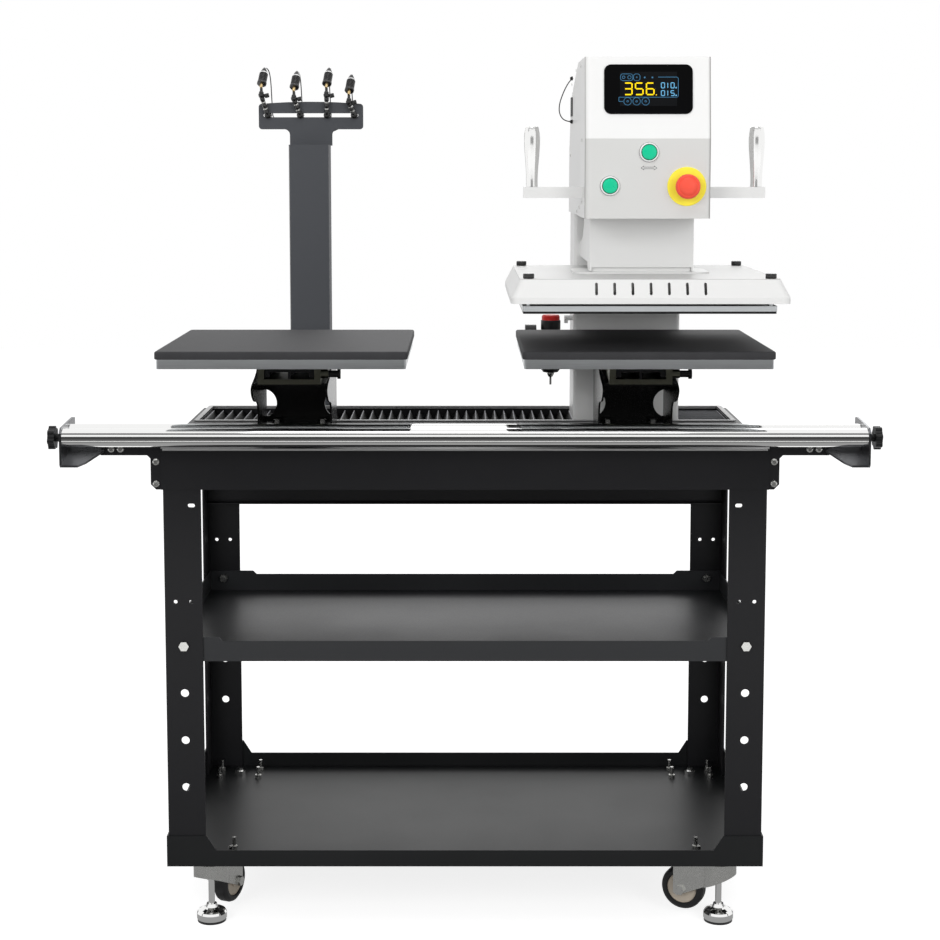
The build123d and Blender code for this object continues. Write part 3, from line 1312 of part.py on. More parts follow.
def make_laser(index):
    """Line laser: ball, ridged barrel with a lens ring at its lower end and a tapered tail."""
    centre = laser_ball(LASER_BALLS[index], LASER_BALL_RISE[index])
    r = LASER_R
    profile = [(0, 0), (r - 3, 0), (r - 1, 1), (r, 3), (r, 6), (r - 1, 7)]
    pitch = (LASER_LENGTH - 9) / LASER_RIBS
    for step in range(LASER_RIBS):
        z = 7 + step * pitch
        profile += [(r, z + 0.5), (r, z + pitch - 1.2), (r - 1, z + pitch - 0.7)]
    end = LASER_LENGTH + LASER_TAIL
    profile += [(r - 1, LASER_LENGTH), (2.2, end), (0, end)]
    barrel = turned(profile, 0, 0, 0)
    lean = Rot(-LASER_LEAN, 0, 0)
    body = Pos(0, -3, r + 3) * lean * barrel
    body += Sphere(LASER_BALL_R) + rod_z(0, 0, 2.6, (0, r + 4))
    return Pos(*centre) * body


def make_laser_leads():
    """Thin leads from the lasers' tails down behind the yoke, ending on the post's back."""
    solids = []
    back = yoke_face() + POST_WALL
    for index in range(len(LASER_BALLS)):
        x, y, z = laser_ball(LASER_BALLS[index], LASER_BALL_RISE[index])
        reach = LASER_LENGTH + 13
        lean = math.radians(LASER_LEAN)
        start = (x, y - 3 + reach * math.sin(lean), z + LASER_R + 3 + reach * math.cos(lean))
        points = [start, (x, start[1] + 6, start[2] + 5), (x + 5, back + 17, start[2] - 4)]
        points += [(x + 9, back + 13, YOKE_TOP_Z - 2), (x + 12, back + 9, YOKE_SLOT_Z - 12)]
        side = 1 if LASER_BALLS[index] < 0 else -1
        low = (STATIONS[0] - side * 10 + 4 * index - 6, back + 0.8)
        points += [(low[0] - side * 2, back + 6, YOKE_LOW_Z - 12)]
        points += [(*low, POST_TOP_Z), (*low, POST_TOP_Z - 30)]
        path = FilletPolyline(*points, radius=3)
        section = Plane(origin=path @ 0, z_dir=path % 0) * Circle(0.8)
        solids.append(sweep(section, path=path))
    return group(*solids)


def all_nodes():
    """Every node by name, in place."""
    x_left, x_right = STATIONS
    column_side = COLUMN_WIDTH / 2 + TOUCH
    nodes = {
        "deck_pan": make_deck_pan(),
        "legs": group(*[make_leg(side, end) for side in (-1, 1) for end in (-1, 1)]),
        "lower_tray": make_lower_tray(),
        "upper_shelf": make_upper_shelf(),
        "rear_panel": make_rear_panel(),
        "frame_bolts": group(*make_frame_bolts(), *make_arm_screws(), *make_pedestal_bolts()),
        "outriggers": group(make_outrigger(), mirror_x(make_outrigger())),
        "end_brackets": group(make_end_bracket(), mirror_x(make_end_bracket())),
        "guard_tubes": make_guard_tubes(),
        "caster_plates": group(*make_caster_plates(), *make_caster_bolts()),
        "leveling_feet": group(*make_leveling_feet(), *make_foot_pads()),
        "trough_frame": make_trough_frame(),
        "bellows_left": make_bellows((-TROUGH_HALF + 2, HOME_X - column_side)),
        "bellows_right": make_bellows((HOME_X + column_side, TROUGH_HALF - 2)),
        "shuttle_drive": group(*make_shuttle_rails(), make_shuttle_cylinder()),
        "pedestals": group(make_pedestal(x_left), make_pedestal(x_right)),
        "sockets": make_sockets(),
        "lower_platens": group(make_platen(x_left), make_platen(x_right)),
        "silicone_pads": group(make_pad(x_left), make_pad(x_right)),
        "laser_post": make_laser_post(),
        "laser_arms": make_laser_arms(),
        "laser_leads": make_laser_leads(),
        "lock_plunger_left": make_plunger(x_left),
        "lock_plunger_right": make_plunger(x_right),
        "star_knob_left": make_star_knob(-1),
        "star_knob_right": make_star_knob(1),
        "brake_pedal": make_brake_pedal(),
        "carriage": make_carriage(),
        "column": group(make_column(), make_power_inlet()),
        "neck_housing": make_neck_housing(),
        "control_housing": make_control_housing(),
        "control_panel": make_control_panel(),
        "display_glass": make_display(),
        "button_bezels": make_button_bezels(),
        "handle_arms": make_handle_arms(),
        "filter_regulator": group(make_filter_regulator(), make_air_fitting()),
        "press_cylinder": make_press_cylinder(),
        "regulator_knob": make_regulator_knob(),
        "grip_left": make_grip(-1),
        "grip_right": make_grip(1),
        "start_button": make_button(BUTTON_HIGH),
        "lamp_button": make_button(BUTTON_LOW),
        "estop_button": make_estop_button(),
        "ram": make_ram() + make_ram_flange() + make_piston_rod(),
        "heat_cover": make_heat_cover(),
        "cover_knobs": make_cover_knobs(),
        "heat_platen": make_heat_platen(),
        "heating_element": group(make_heating_element(), make_insulation()),
    }
    for spot, corner in enumerate(("front_left", "front_right", "rear_left", "rear_right")):
        nodes[f"fork_{corner}"] = make_fork(spot)
        nodes[f"wheel_{corner}"] = make_wheel(spot)
    for index in range(len(LASER_BALLS)):
        nodes[f"laser_{index + 1}"] = make_laser(index)
    return nodes


if __name__ == "__main__":
    os.makedirs("parts", exist_ok=True)
    for name, shape in all_nodes().items():
        export_step(shape, f"parts/{name}.step")
        print(name, len(shape.solids()), round(shape.volume))
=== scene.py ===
"""A shuttle heat press with two stations, dressed for the camera: its finishes and small pieces."""
import json
import math

import bmesh
import bpy
import numpy as np
from mathutils import Matrix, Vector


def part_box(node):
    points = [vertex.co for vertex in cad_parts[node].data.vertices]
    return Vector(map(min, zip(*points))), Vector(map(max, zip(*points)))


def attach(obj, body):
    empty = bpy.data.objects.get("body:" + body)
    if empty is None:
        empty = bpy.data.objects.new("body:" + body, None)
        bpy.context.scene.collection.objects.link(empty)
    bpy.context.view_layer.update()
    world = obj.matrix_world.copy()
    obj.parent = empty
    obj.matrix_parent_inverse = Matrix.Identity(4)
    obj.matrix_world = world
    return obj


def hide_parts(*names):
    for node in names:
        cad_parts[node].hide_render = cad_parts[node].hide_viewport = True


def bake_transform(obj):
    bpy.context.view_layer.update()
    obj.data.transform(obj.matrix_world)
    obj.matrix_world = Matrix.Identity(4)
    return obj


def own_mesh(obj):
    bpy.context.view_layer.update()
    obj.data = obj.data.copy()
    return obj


MM = 0.001

# The photograph's view
CAMERA_PLACE = (0.0, -3.071, 1.2)
CAMERA_TILT = 83.96
LENS = 71.6
SENSOR = 36.0
SHIFT_ACROSS = 0.0053
SHIFT_UP = -0.115

# Sizes that the small pieces share with the parts
TUBE_R = 14 * MM
PANEL_LEAN = math.atan2(16, 122)
GLASS_THICK = 1.6 * MM
COVER_FOLDS = 38
COVER_DIP = 15 * MM
COVER_THICK = 1.2 * MM
PLATEN_THICK = 14.5 * MM
SOLE_STEP = 3.5 * MM
STUD_REACH = 181 * MM
HEAD_HALF = 95 * MM
HUB_R = 26 * MM
LASERS = (1, 2, 3, 4)
LASER_LEAN = math.radians(39.0)
LASER_STEPS = (10.0, 10.0, 0.0, 8.5)
LASER_RISES = (39.0, 33.0, 39.0, 27.0)
YOKE_SHEET = 3.0
POST_HALF = 35 * MM
YOKE_DROP = 79 * MM
PANEL_FOLD = 121 * MM
LEAD_R = 0.95 * MM
LEAD_LENGTHS = (0.2075, 0.171, 0.1855, 0.1996)
LEAD_BOWS = (9.0, 5.0, -2.0, -2.0)
HEAD_LEAD_R = 0.9 * MM
GAUGE_TICKS = 11

# The studio: strengths, and the lamps as place, size, power and whether glossy surfaces show them
WORLD_LIGHT = 0.5
WORLD_SEEN = 1.0
FLOOR_GREY = 0.74
FLOOR_GLOW = 0.8
FLOOR_REACH = 9.0
LAMP_TARGET = (0, 0, 0.9)
LAMPS = {"key": ((-2.0, -3.5, 2.1), (1.8, 1.8), 50, False),
         "fill": ((2.1, -3.4, 1.8), (1.8, 1.8), 38, False),
         "top": ((0, -1.3, 3.7), (2.4, 1.4), 14, True),
         "back": ((0.4, 3.0, 2.6), (2.4, 1.6), 30, True)}

# Cards that polished metal shows: two edges as (y, z) from the front tube's middle, and a grey level.
# Those on the floor have their y alone.
CARD_HALF = 2.6
CARD_RISE = 4 * MM
CARDS = (("card_high", (-1.4, 1.3), (-0.75, 1.62), 0.5),
         ("card_wall", (-0.3, 0.1), (-0.3, -0.062), 0.27),
         ("card_foot", (-0.3, -0.062), (-0.29, -0.11), 0.36),
         ("card_floor", (-0.29, -0.11), (-0.28, -0.2), 0.44))
FLOOR_CARDS = (("card_apron", -0.9, -0.4, 0.53), ("card_near", -0.4, 0.5, 0.62))
CAMERA_CARD_HALF = 1.3
CAMERA_CARD_Y = -3.4
CAMERA_CARD_Z = (1.05, 1.7)
CAMERA_CARD_LEVEL = 0.62

# How steeply a painted edge or line starts, per metre, and from what angle an edge stays crisp, in degrees
EDGE_STEEP = 900.0
LINE_STEEP = 1400.0
CRISP = 30.0


class Value:
    """A shader value that takes sums, products and the like written as plain expressions."""

    def __init__(self, tree, socket):
        self.tree = tree
        self.socket = socket

    def _join(self, operation, first, second):
        node = self.tree.nodes.new("ShaderNodeMath")
        node.operation = operation
        for place, value in enumerate((first, second)):
            feed(self.tree, value, node.inputs[place])
        return Value(self.tree, node.outputs[0])

    def __add__(self, other):
        return self._join("ADD", self, other)

    def __radd__(self, other):
        return self._join("ADD", other, self)

    def __sub__(self, other):
        return self._join("SUBTRACT", self, other)

    def __rsub__(self, other):
        return self._join("SUBTRACT", other, self)

    def __mul__(self, other):
        return self._join("MULTIPLY", self, other)

    def __rmul__(self, other):
        return self._join("MULTIPLY", other, self)

    def over(self, limit):
        """1 where the value is more than the limit, else 0."""
        return self._join("GREATER_THAN", self, limit)

    def under(self, limit):
        """1 where the value is less than the limit, else 0."""
        return self._join("LESS_THAN", self, limit)

    def size(self):
        """The value without its sign."""
        return self._join("ABSOLUTE", self, 0.0)

    def held(self):
        """The value kept between 0 and 1."""
        return self._join("MINIMUM", self._join("MAXIMUM", self, 0.0), 1.0)


def feed(tree, value, socket):
    """Link a value to a socket, or set the socket to a number or colour."""
    if isinstance(value, Value):
        tree.links.new(value.socket, socket)
    else:
        socket.default_value = value


class Finish:
    """One material: a Principled surface and the nodes that vary it."""

    def __init__(self, name, **surface):
        self.material = bpy.data.materials.new(name)
        self.material.use_nodes = True
        self.tree = self.material.node_tree
        self.shader = self.tree.nodes["Principled BSDF"]
        self.set(**surface)

    def set(self, **surface):
        """Give the surface's sockets numbers, colours or values, named in lower case with underscores."""
        names = {socket.name.lower().replace(" ", "_"): socket for socket in self.shader.inputs}
        for name, value in surface.items():
            if isinstance(value, tuple) and len(value) == 3 and names[name].type == "RGBA":
                value = (*value, 1.0)
            feed(self.tree, value, names[name])
        return self

    def node(self, kind, settings=None, inputs=None, out=0):
        """Any other node: its settings first, then the values or links of its sockets by name or place."""
        node = self.tree.nodes.new(kind)
        for name, value in (settings or {}).items():
            setattr(node, name, value)
        for name, value in (inputs or {}).items():
            feed(self.tree, value, node.inputs[name])
        return Value(self.tree, node.outputs[out])

    def place(self):
        """Where the point lies on the object."""
        return self.node("ShaderNodeTexCoord", out="Object")

    def axis(self, which):
        """One of the point's three coordinates."""
        return self.node("ShaderNodeSeparateXYZ", inputs={0: self.place()}, out=which)

    def noise(self, grain, detail=2.0, rough=0.5, stretch=(1, 1, 1)):
        """Noise from 0 to 1 whose lumps are about grain metres wide, stretched along the axes."""
        spot = self.node("ShaderNodeVectorMath", {"operation": "MULTIPLY"}, {0: self.place(), 1: stretch})
        sockets = {"Vector": spot, "Scale": 1.0 / grain, "Detail": detail, "Roughness": rough}
        return self.node("ShaderNodeTexNoise", None, sockets, out="Fac")

    def blend(self, amount, first, second):
        """A colour between two colours."""
        first, second = [(*c, 1.0) if isinstance(c, tuple) and len(c) == 3 else c for c in (first, second)]
        node = self.tree.nodes.new("ShaderNodeMix")
        node.data_type = "RGBA"
        feed(self.tree, amount, node.inputs["Factor"])
        feed(self.tree, first, node.inputs[6])
        feed(self.tree, second, node.inputs[7])
        return Value(self.tree, node.outputs[2])

    def bump(self, height, depth, strength=1.0):
        """Raise the surface by height, in units of depth metres."""
        sockets = {"Height": height, "Distance": depth, "Strength": strength}
        return self.set(normal=self.node("ShaderNodeBump", None, sockets))


def shade(level):
    """A neutral grey, given as it looks on screen from 0 to 1."""
    linear = level / 12.92 if level <= 0.04045 else ((level + 0.055) / 1.055) ** 2.4
    return (linear, linear, linear)


def tint(red, green, blue):
    """A colour given as it looks on screen, each part from 0 to 255."""
    return tuple(shade(part / 255.0)[0] for part in (red, green, blue))


def coated(name, colour, rough, grain, depth, mottle, gloss, shine):
    """Powder coat: orange-peel bump, a faint mottle in the colour and uneven gloss."""
    finish = Finish(name, coat_weight=gloss, coat_roughness=0.12, specular_ior_level=shine)
    cloud = finish.noise(0.16, 3.0)
    fine = finish.noise(grain, 2.0)
    lighter = tuple(part * (1 + 2 * mottle) + 0.002 for part in colour)
    darker = tuple(part * (1 - mottle) for part in colour)
    finish.set(base_color=finish.blend(cloud, darker, lighter),
               roughness=rough + (fine - 0.5) * 0.16 + (cloud - 0.5) * 0.12)
    return finish.bump(fine, depth, 0.6)


def metal(name, colour, rough, grain, depth, stretch, streak):
    """Bare metal with fine marks that run along the stretched axis."""
    finish = Finish(name, metallic=1.0)
    marks = finish.noise(grain, 3.0, 0.6, stretch)
    cloud = finish.noise(0.03, 2.0)
    darker = tuple(part * (1 - 1.6 * streak) for part in colour)
    finish.set(base_color=finish.blend(marks, darker, colour),
               roughness=rough + (marks - 0.5) * streak + (cloud - 0.5) * 0.08)
    return finish.bump(marks, depth, 0.5)


def moulded(name, colour, rough, grain, depth, shine):
    """Moulded plastic or rubber with a fine grain."""
    finish = Finish(name, specular_ior_level=shine)
    fine = finish.noise(grain, 2.0)
    cloud = finish.noise(0.02, 2.0)
    lighter = tuple(part * 1.25 + 0.002 for part in colour)
    finish.set(base_color=finish.blend(cloud, colour, lighter), roughness=rough + (fine - 0.5) * 0.2)
    return finish.bump(fine, depth, 0.5)


def put(name, points, faces, finish, body, smooth=False, sharp=None):
    """Make a mesh of the points and faces, give it its finish and let it ride on a body.

    Where sharp is given, its edges are settled at that angle.
    """
    mesh = bpy.data.meshes.new(name)
    points = np.asarray(points, float).reshape(-1, 3).tolist()
    mesh.from_pydata(points, [], [list(map(int, face)) for face in faces])
    mesh.validate()
    mesh.polygons.foreach_set("use_smooth", [smooth] * len(mesh.polygons))
    mesh.materials.append(finish.material)
    thing = bpy.data.objects.new(name, mesh)
    bpy.context.scene.collection.objects.link(thing)
    if sharp is not None:
        settle(thing, sharp)
    if body:
        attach(thing, body)
    return thing


def quads(rows, columns, closed=False):
    """Faces of a grid stored row by row. A closed grid joins the last column to the first."""
    down, across = np.arange(rows - 1), np.arange(columns if closed else columns - 1)
    a, b = np.meshgrid(down, across, indexing="ij")
    below, beside = a + 1, (b + 1) % columns
    corners = (a * columns + b, a * columns + beside, below * columns + beside, below * columns + b)
    return np.stack([corner.ravel() for corner in corners], axis=1)


def frame_of(direction):
    """Two directions square to the given one and to each other."""
    along = np.asarray(direction, float) / np.linalg.norm(direction)
    helper = np.array([0.0, 0.0, 1.0]) if abs(along[2]) < 0.9 else np.array([1.0, 0.0, 0.0])
    side = np.cross(helper, along)
    side /= np.linalg.norm(side)
    return side, np.cross(along, side), along


def lathe(name, profile, centre, direction, finish, body, sides=32, flutes=None):
    """Turned piece: each (radius, height) point of the profile sweeps a circle about the direction.

    The profile is in millimetres from the centre. Flutes, given as (count, share), swell and shrink every
    circle by that share, count times round.
    """
    side, up, along = frame_of(direction)
    profile = np.asarray(profile, float) * MM
    angle = 2 * np.pi * np.arange(sides) / sides
    swell = 1.0 if flutes is None else (1 + flutes[1] * np.cos(flutes[0] * angle))[None, :, None]
    ring = (np.cos(angle)[None, :, None] * side + np.sin(angle)[None, :, None] * up) * swell
    points = np.asarray(centre) + profile[:, 0][:, None, None] * ring + profile[:, 1][:, None, None] * along
    return put(name, points, quads(len(profile), sides, True), finish, body, True, CRISP)


def settle(thing, sharp):
    """Merge doubled points, close holes, point faces outwards and keep edges crisp that turn sharply."""
    form = bmesh.new()
    form.from_mesh(thing.data)
    bmesh.ops.remove_doubles(form, verts=form.verts, dist=1e-7)
    loose = [edge for edge in form.edges if edge.is_boundary]
    if loose:
        bmesh.ops.holes_fill(form, edges=loose, sides=0)
    bmesh.ops.recalc_face_normals(form, faces=form.faces)
    for edge in form.edges:
        edge.smooth = len(edge.link_faces) != 2 or edge.calc_face_angle(0.0) < math.radians(sharp)
    form.to_mesh(thing.data)
    form.free()


def slab(name, outline, thick, origin, across, up, finish, body, slot):
    """Flat piece: a closed outline in the plane of across and up, carried back by its thickness."""
    across, up = np.asarray(across, float), np.asarray(up, float)
    depth = np.cross(across, up) * thick
    outline = np.asarray(outline, float)
    flat = np.asarray(origin, float) + outline[:, :1] * across + outline[:, 1:] * up
    count = len(outline)
    ring = np.arange(count)
    walls = np.stack([ring, (ring + 1) % count, (ring + 1) % count + count, ring + count], axis=1)
    faces = [list(ring), list(ring[::-1] + count)] + walls[:, ::-1].tolist()
    return put(name, np.concatenate([flat, flat - depth]), faces, finish, body, False, CRISP)


def tube(name, line, radius, finish, body, sides=10):
    """Round tube along a line of points."""
    line = np.asarray(line, float)
    step = np.gradient(line, axis=0)
    step /= np.linalg.norm(step, axis=1)[:, None]
    helper = np.array([1.0, 0.0, 0.0]) if abs(step[0][0]) < 0.8 else np.array([0.0, 1.0, 0.0])
    side = np.cross(np.broadcast_to(helper, step.shape), step)
    side /= np.linalg.norm(side, axis=1)[:, None]
    up = np.cross(step, side)
    angle = 2 * np.pi * np.arange(sides) / sides
    ring = np.cos(angle)[None, :, None] * side[:, None, :] + np.sin(angle)[None, :, None] * up[:, None, :]
    points = line[:, None, :] + radius * ring
    return put(name, points, quads(len(line), sides, True), finish, body, True, 2 * CRISP)


def rounded(width, height, radius, steps=6):
    """Outline of a rectangle with round corners about the origin."""
    angle = np.linspace(0, np.pi / 2, steps)
    corners = []
    for turn, (sx, sy) in enumerate(((1, 1), (-1, 1), (-1, -1), (1, -1))):
        spin = angle + turn * np.pi / 2
        middle = np.array([sx * (width / 2 - radius), sy * (height / 2 - radius)])
        corners.append(middle + radius * np.stack([np.cos(spin), np.sin(spin)], axis=1))
    return np.concatenate(corners)


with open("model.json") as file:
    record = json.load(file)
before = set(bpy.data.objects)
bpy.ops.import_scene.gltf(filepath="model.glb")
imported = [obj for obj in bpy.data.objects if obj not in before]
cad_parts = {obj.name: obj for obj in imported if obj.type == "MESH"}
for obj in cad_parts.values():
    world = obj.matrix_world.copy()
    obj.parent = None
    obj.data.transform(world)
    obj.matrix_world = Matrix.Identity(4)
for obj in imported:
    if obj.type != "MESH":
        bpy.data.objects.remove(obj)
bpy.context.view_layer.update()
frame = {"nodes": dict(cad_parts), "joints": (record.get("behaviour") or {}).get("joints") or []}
nodes = frame["nodes"]


def corner(node, x, y, z):
    """A point of a node's box: each of x, y and z runs from 0 at the low side to 1 at the high side."""
    low, high = (np.array(end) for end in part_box(node))
    return low + (high - low) * (x, y, z)


def make_camera():
    """The camera of the photograph."""
    data = bpy.data.cameras.new("view")
    data.lens = LENS
    data.sensor_width = SENSOR
    data.shift_x = SHIFT_ACROSS
    data.shift_y = SHIFT_UP
    camera = bpy.data.objects.new("view", data)
    camera.location = CAMERA_PLACE
    camera.rotation_euler = (math.radians(CAMERA_TILT), 0, 0)
    bpy.context.scene.collection.objects.link(camera)
    bpy.context.scene.camera = camera
    bpy.context.scene.view_settings.view_transform = "Standard"


def make_lamp(name, place, size, power, mirrored):
    """A soft rectangular lamp that faces the machine, and shows in glossy surfaces or not."""
    data = bpy.data.lights.new(name, "AREA")
    data.shape = "RECTANGLE"
    data.size, data.size_y = size
    data.energy = power
    lamp = bpy.data.objects.new(name, data)
    lamp.location = place
    side, up, along = frame_of(np.asarray(place, float) - np.asarray(LAMP_TARGET, float))
    lamp.rotation_euler = Matrix((side, up, along)).transposed().to_euler()
    lamp.visible_glossy = mirrored
    bpy.context.scene.collection.objects.link(lamp)


def make_card(name, half, near, far, level):
    """A card that only polished metal shows: half its width, two edges as (y, z) and its grey."""
    finish = Finish(name, base_color=(0, 0, 0), roughness=1.0, specular_ior_level=0.0,
                    emission_color=(*shade(level), 1), emission_strength=1.0)
    corners = [(-half, *near), (half, *near), (half, *far), (-half, *far)]
    card = put(name, corners, [(0, 1, 2, 3)], finish, None)
    card.visible_camera = False
    card.visible_diffuse = False
    card.visible_transmission = False
    card.visible_shadow = False


def seen_or_mirrored(tree):
    """1 where the camera, a reflection or a clear piece looks straight at the surface, else 0."""
    path = tree.nodes.new("ShaderNodeLightPath")
    rays = [Value(tree, path.outputs[f"Is {kind} Ray"]) for kind in ("Camera", "Glossy", "Transmission")]
    return (rays[0] + rays[1] + rays[2]).held()


def make_room():
    """Pale floor, white surround for the camera and the reflections, soft lamps and the cards."""
    world = bpy.data.worlds.new("studio")
    world.use_nodes = True
    bpy.context.scene.world = world
    tree = world.node_tree
    tree.nodes.clear()
    out = tree.nodes.new("ShaderNodeOutputWorld")
    mix = tree.nodes.new("ShaderNodeMixShader")
    feed(tree, seen_or_mirrored(tree), mix.inputs[0])
    for place, strength in enumerate((WORLD_LIGHT, WORLD_SEEN), 1):
        node = tree.nodes.new("ShaderNodeBackground")
        node.inputs["Color"].default_value = (1, 1, 1, 1)
        node.inputs["Strength"].default_value = strength
        tree.links.new(node.outputs[0], mix.inputs[place])
    tree.links.new(mix.outputs[0], out.inputs[0])

    floor = Finish("studio_floor", base_color=shade(FLOOR_GREY), roughness=0.9)
    glow = floor.node("ShaderNodeEmission", None, {"Color": (1, 1, 1, 1), "Strength": FLOOR_GLOW})
    plain = Value(floor.tree, floor.shader.outputs[0])
    both = floor.node("ShaderNodeAddShader", None, {0: plain, 1: glow})
    pick = floor.node("ShaderNodeMixShader", None, {0: seen_or_mirrored(floor.tree), 1: plain, 2: both})
    floor.tree.links.new(pick.socket, floor.tree.nodes["Material Output"].inputs["Surface"])
    points = [(x * FLOOR_REACH, y * FLOOR_REACH, 0) for x, y in ((-1, -1), (1, -1), (1, 1), (-1, 1))]
    put("studio_ground", points, [(0, 1, 2, 3)], floor, None)

    _, y, z = corner("guard_tubes", 0.5, 0.0, 0.5) + (0, TUBE_R, 0)
    for name, near, far, level in CARDS:
        make_card(name, CARD_HALF, (y + near[0], z + near[1]), (y + far[0], z + far[1]), level)
    for name, near, far, level in FLOOR_CARDS:
        make_card(name, CARD_HALF, (y + near, CARD_RISE), (y + far, CARD_RISE), level)
    low, high = CAMERA_CARD_Z
    make_card("card_camera", CAMERA_CARD_HALF, (CAMERA_CARD_Y, low), (CAMERA_CARD_Y, high), CAMERA_CARD_LEVEL)
    for name, lamp in LAMPS.items():
        make_lamp(name, *lamp)


def edge_light(finish, base, lit, inside):
    """Paint light or shade into a finish: the painted lit or shaded colour where the inside value says so,
    and the base elsewhere.
    """
    return finish.set(base_color=finish.blend(inside.held(), base, lit))


def ramp(value, steep=LINE_STEEP):
    """0 below zero and 1 above it, with a short slope between."""
    return (value * steep).held()


# Powder coats: colour as seen, roughness, grain and its depth in metres, mottle, clear gloss and shine
COATS = {
    "black_sheet": ((24, 25, 27), 0.46, 0.0016, 0.00005, 0.1, 0.0, 0.22),
    # The upper shelf's black sheet, painted lighter as painted sheen from above; also used for the louvre's
    # slats as painted highlights.
    "tray_sheet": ((40, 41, 43), 0.4, 0.0016, 0.00005, 0.1, 0.0, 0.28),
    "floor_sheet": ((25, 26, 27), 0.42, 0.0016, 0.00005, 0.1, 0.0, 0.22),
    "rim_sheet": ((40, 41, 43), 0.4, 0.002, 0.00003, 0.06, 0.0, 0.3),
    "post_coat": ((80, 82, 86), 0.62, 0.0011, 0.0002, 0.12, 0.0, 0.25),
    "gloss_black": ((16, 16, 16), 0.26, 0.002, 0.00003, 0.06, 0.1, 0.25),
    "laser_black": ((14, 14, 15), 0.22, 0.001, 0.00002, 0.05, 0.5, 0.5),
    "white_coat": ((232, 232, 231), 0.42, 0.0014, 0.00004, 0.012, 0.12, 0.5),
    "cover_coat": ((232, 232, 231), 0.42, 0.0014, 0.00004, 0.012, 0.12, 0.5),
    "panel_coat": ((240, 240, 239), 0.42, 0.0014, 0.00004, 0.012, 0.12, 0.5),
    "screen": ((15, 16, 18), 0.25, 0.0006, 0.000001, 0.3, 0.0, 0.04),
}
# Bare metals: colour, roughness, grain and depth, the marks' stretch along the axes, and their streak
METALS = {
    "grey_sheet": ((126, 127, 130), 0.3, 0.004, 0.00002, (1, 1, 8), 0.12),
    "chrome": ((244, 244, 243), 0.05, 0.004, 0.000001, (0.05, 1, 1), 0.012),
    "grip_chrome": ((244, 244, 243), 0.12, 0.004, 0.000001, (1, 1, 0.05), 0.01),
    "zinc": ((212, 212, 209), 0.27, 0.006, 0.00003, (1, 1, 1), 0.1),
    "machined": ((214, 217, 219), 0.32, 0.002, 0.00003, (0.04, 0.04, 1), 0.14),
    "steel": ((170, 170, 168), 0.28, 0.003, 0.00002, (0.05, 1, 1), 0.1),
    "olive": ((126, 126, 112), 0.34, 0.004, 0.00003, (1, 1, 1), 0.12),
    "brass": ((214, 188, 138), 0.3, 0.002, 0.00002, (1, 1, 1), 0.08),
}
# Plastics, rubbers and cloth: colour, roughness, grain and depth, and shine
PLASTICS = {
    "silicone": ((54, 54, 56), 0.7, 0.0011, 0.0002, 0.3),
    "sole": ((20, 20, 21), 0.5, 0.0012, 0.00006, 0.3),
    "black_plastic": ((20, 20, 21), 0.34, 0.0012, 0.00006, 0.4),
    "black_rubber": ((24, 24, 25), 0.5, 0.0012, 0.00006, 0.3),
    "tyre": ((28, 28, 29), 0.45, 0.0012, 0.00006, 0.35),
    "hub": ((182, 172, 158), 0.5, 0.0012, 0.00006, 0.4),
    "green": ((0, 196, 146), 0.3, 0.003, 0.00001, 0.4),
    "red": ((240, 84, 64), 0.36, 0.003, 0.00001, 0.4),
    "yellow": ((252, 238, 70), 0.4, 0.002, 0.00001, 0.4),
    "fabric": ((24, 25, 27), 0.5, 0.0009, 0.0001, 0.3),
    "pale_ring": ((238, 238, 238), 0.26, 0.003, 0.00001, 0.5),
    "red_ring": ((204, 34, 30), 0.35, 0.003, 0.00001, 0.4),
    "clear_white": ((226, 228, 228), 0.3, 0.003, 0.00001, 0.4),
}
# Plain ones: colour, roughness, shine and glow
PLAINS = {
    "glass": ((3, 3, 4), 0.08, 0.05, 0.0),
    "blue_line": ((74, 130, 168), 0.4, 0.1, 0.0),
    "ink": ((92, 92, 94), 0.6, 0.5, 0.0),
    "amber_light": ((250, 214, 20), 0.5, 0.1, 0.35),
    "blue_light": ((112, 182, 224), 0.5, 0.1, 0.1),
}


def make_finishes():
    """Every finish of the machine by its name."""
    kinds = {}
    for make, table in ((coated, COATS), (metal, METALS), (moulded, PLASTICS)):
        for name, (colour, *rest) in table.items():
            kinds[name] = make(name, tint(*colour), *rest)
    for name, (colour, rough, shine, glow) in PLAINS.items():
        colour = tint(*colour)
        kinds[name] = Finish(name, base_color=colour, roughness=rough, specular_ior_level=shine)
        if glow:
            kinds[name].set(emission_color=colour, emission_strength=glow)
    return kinds


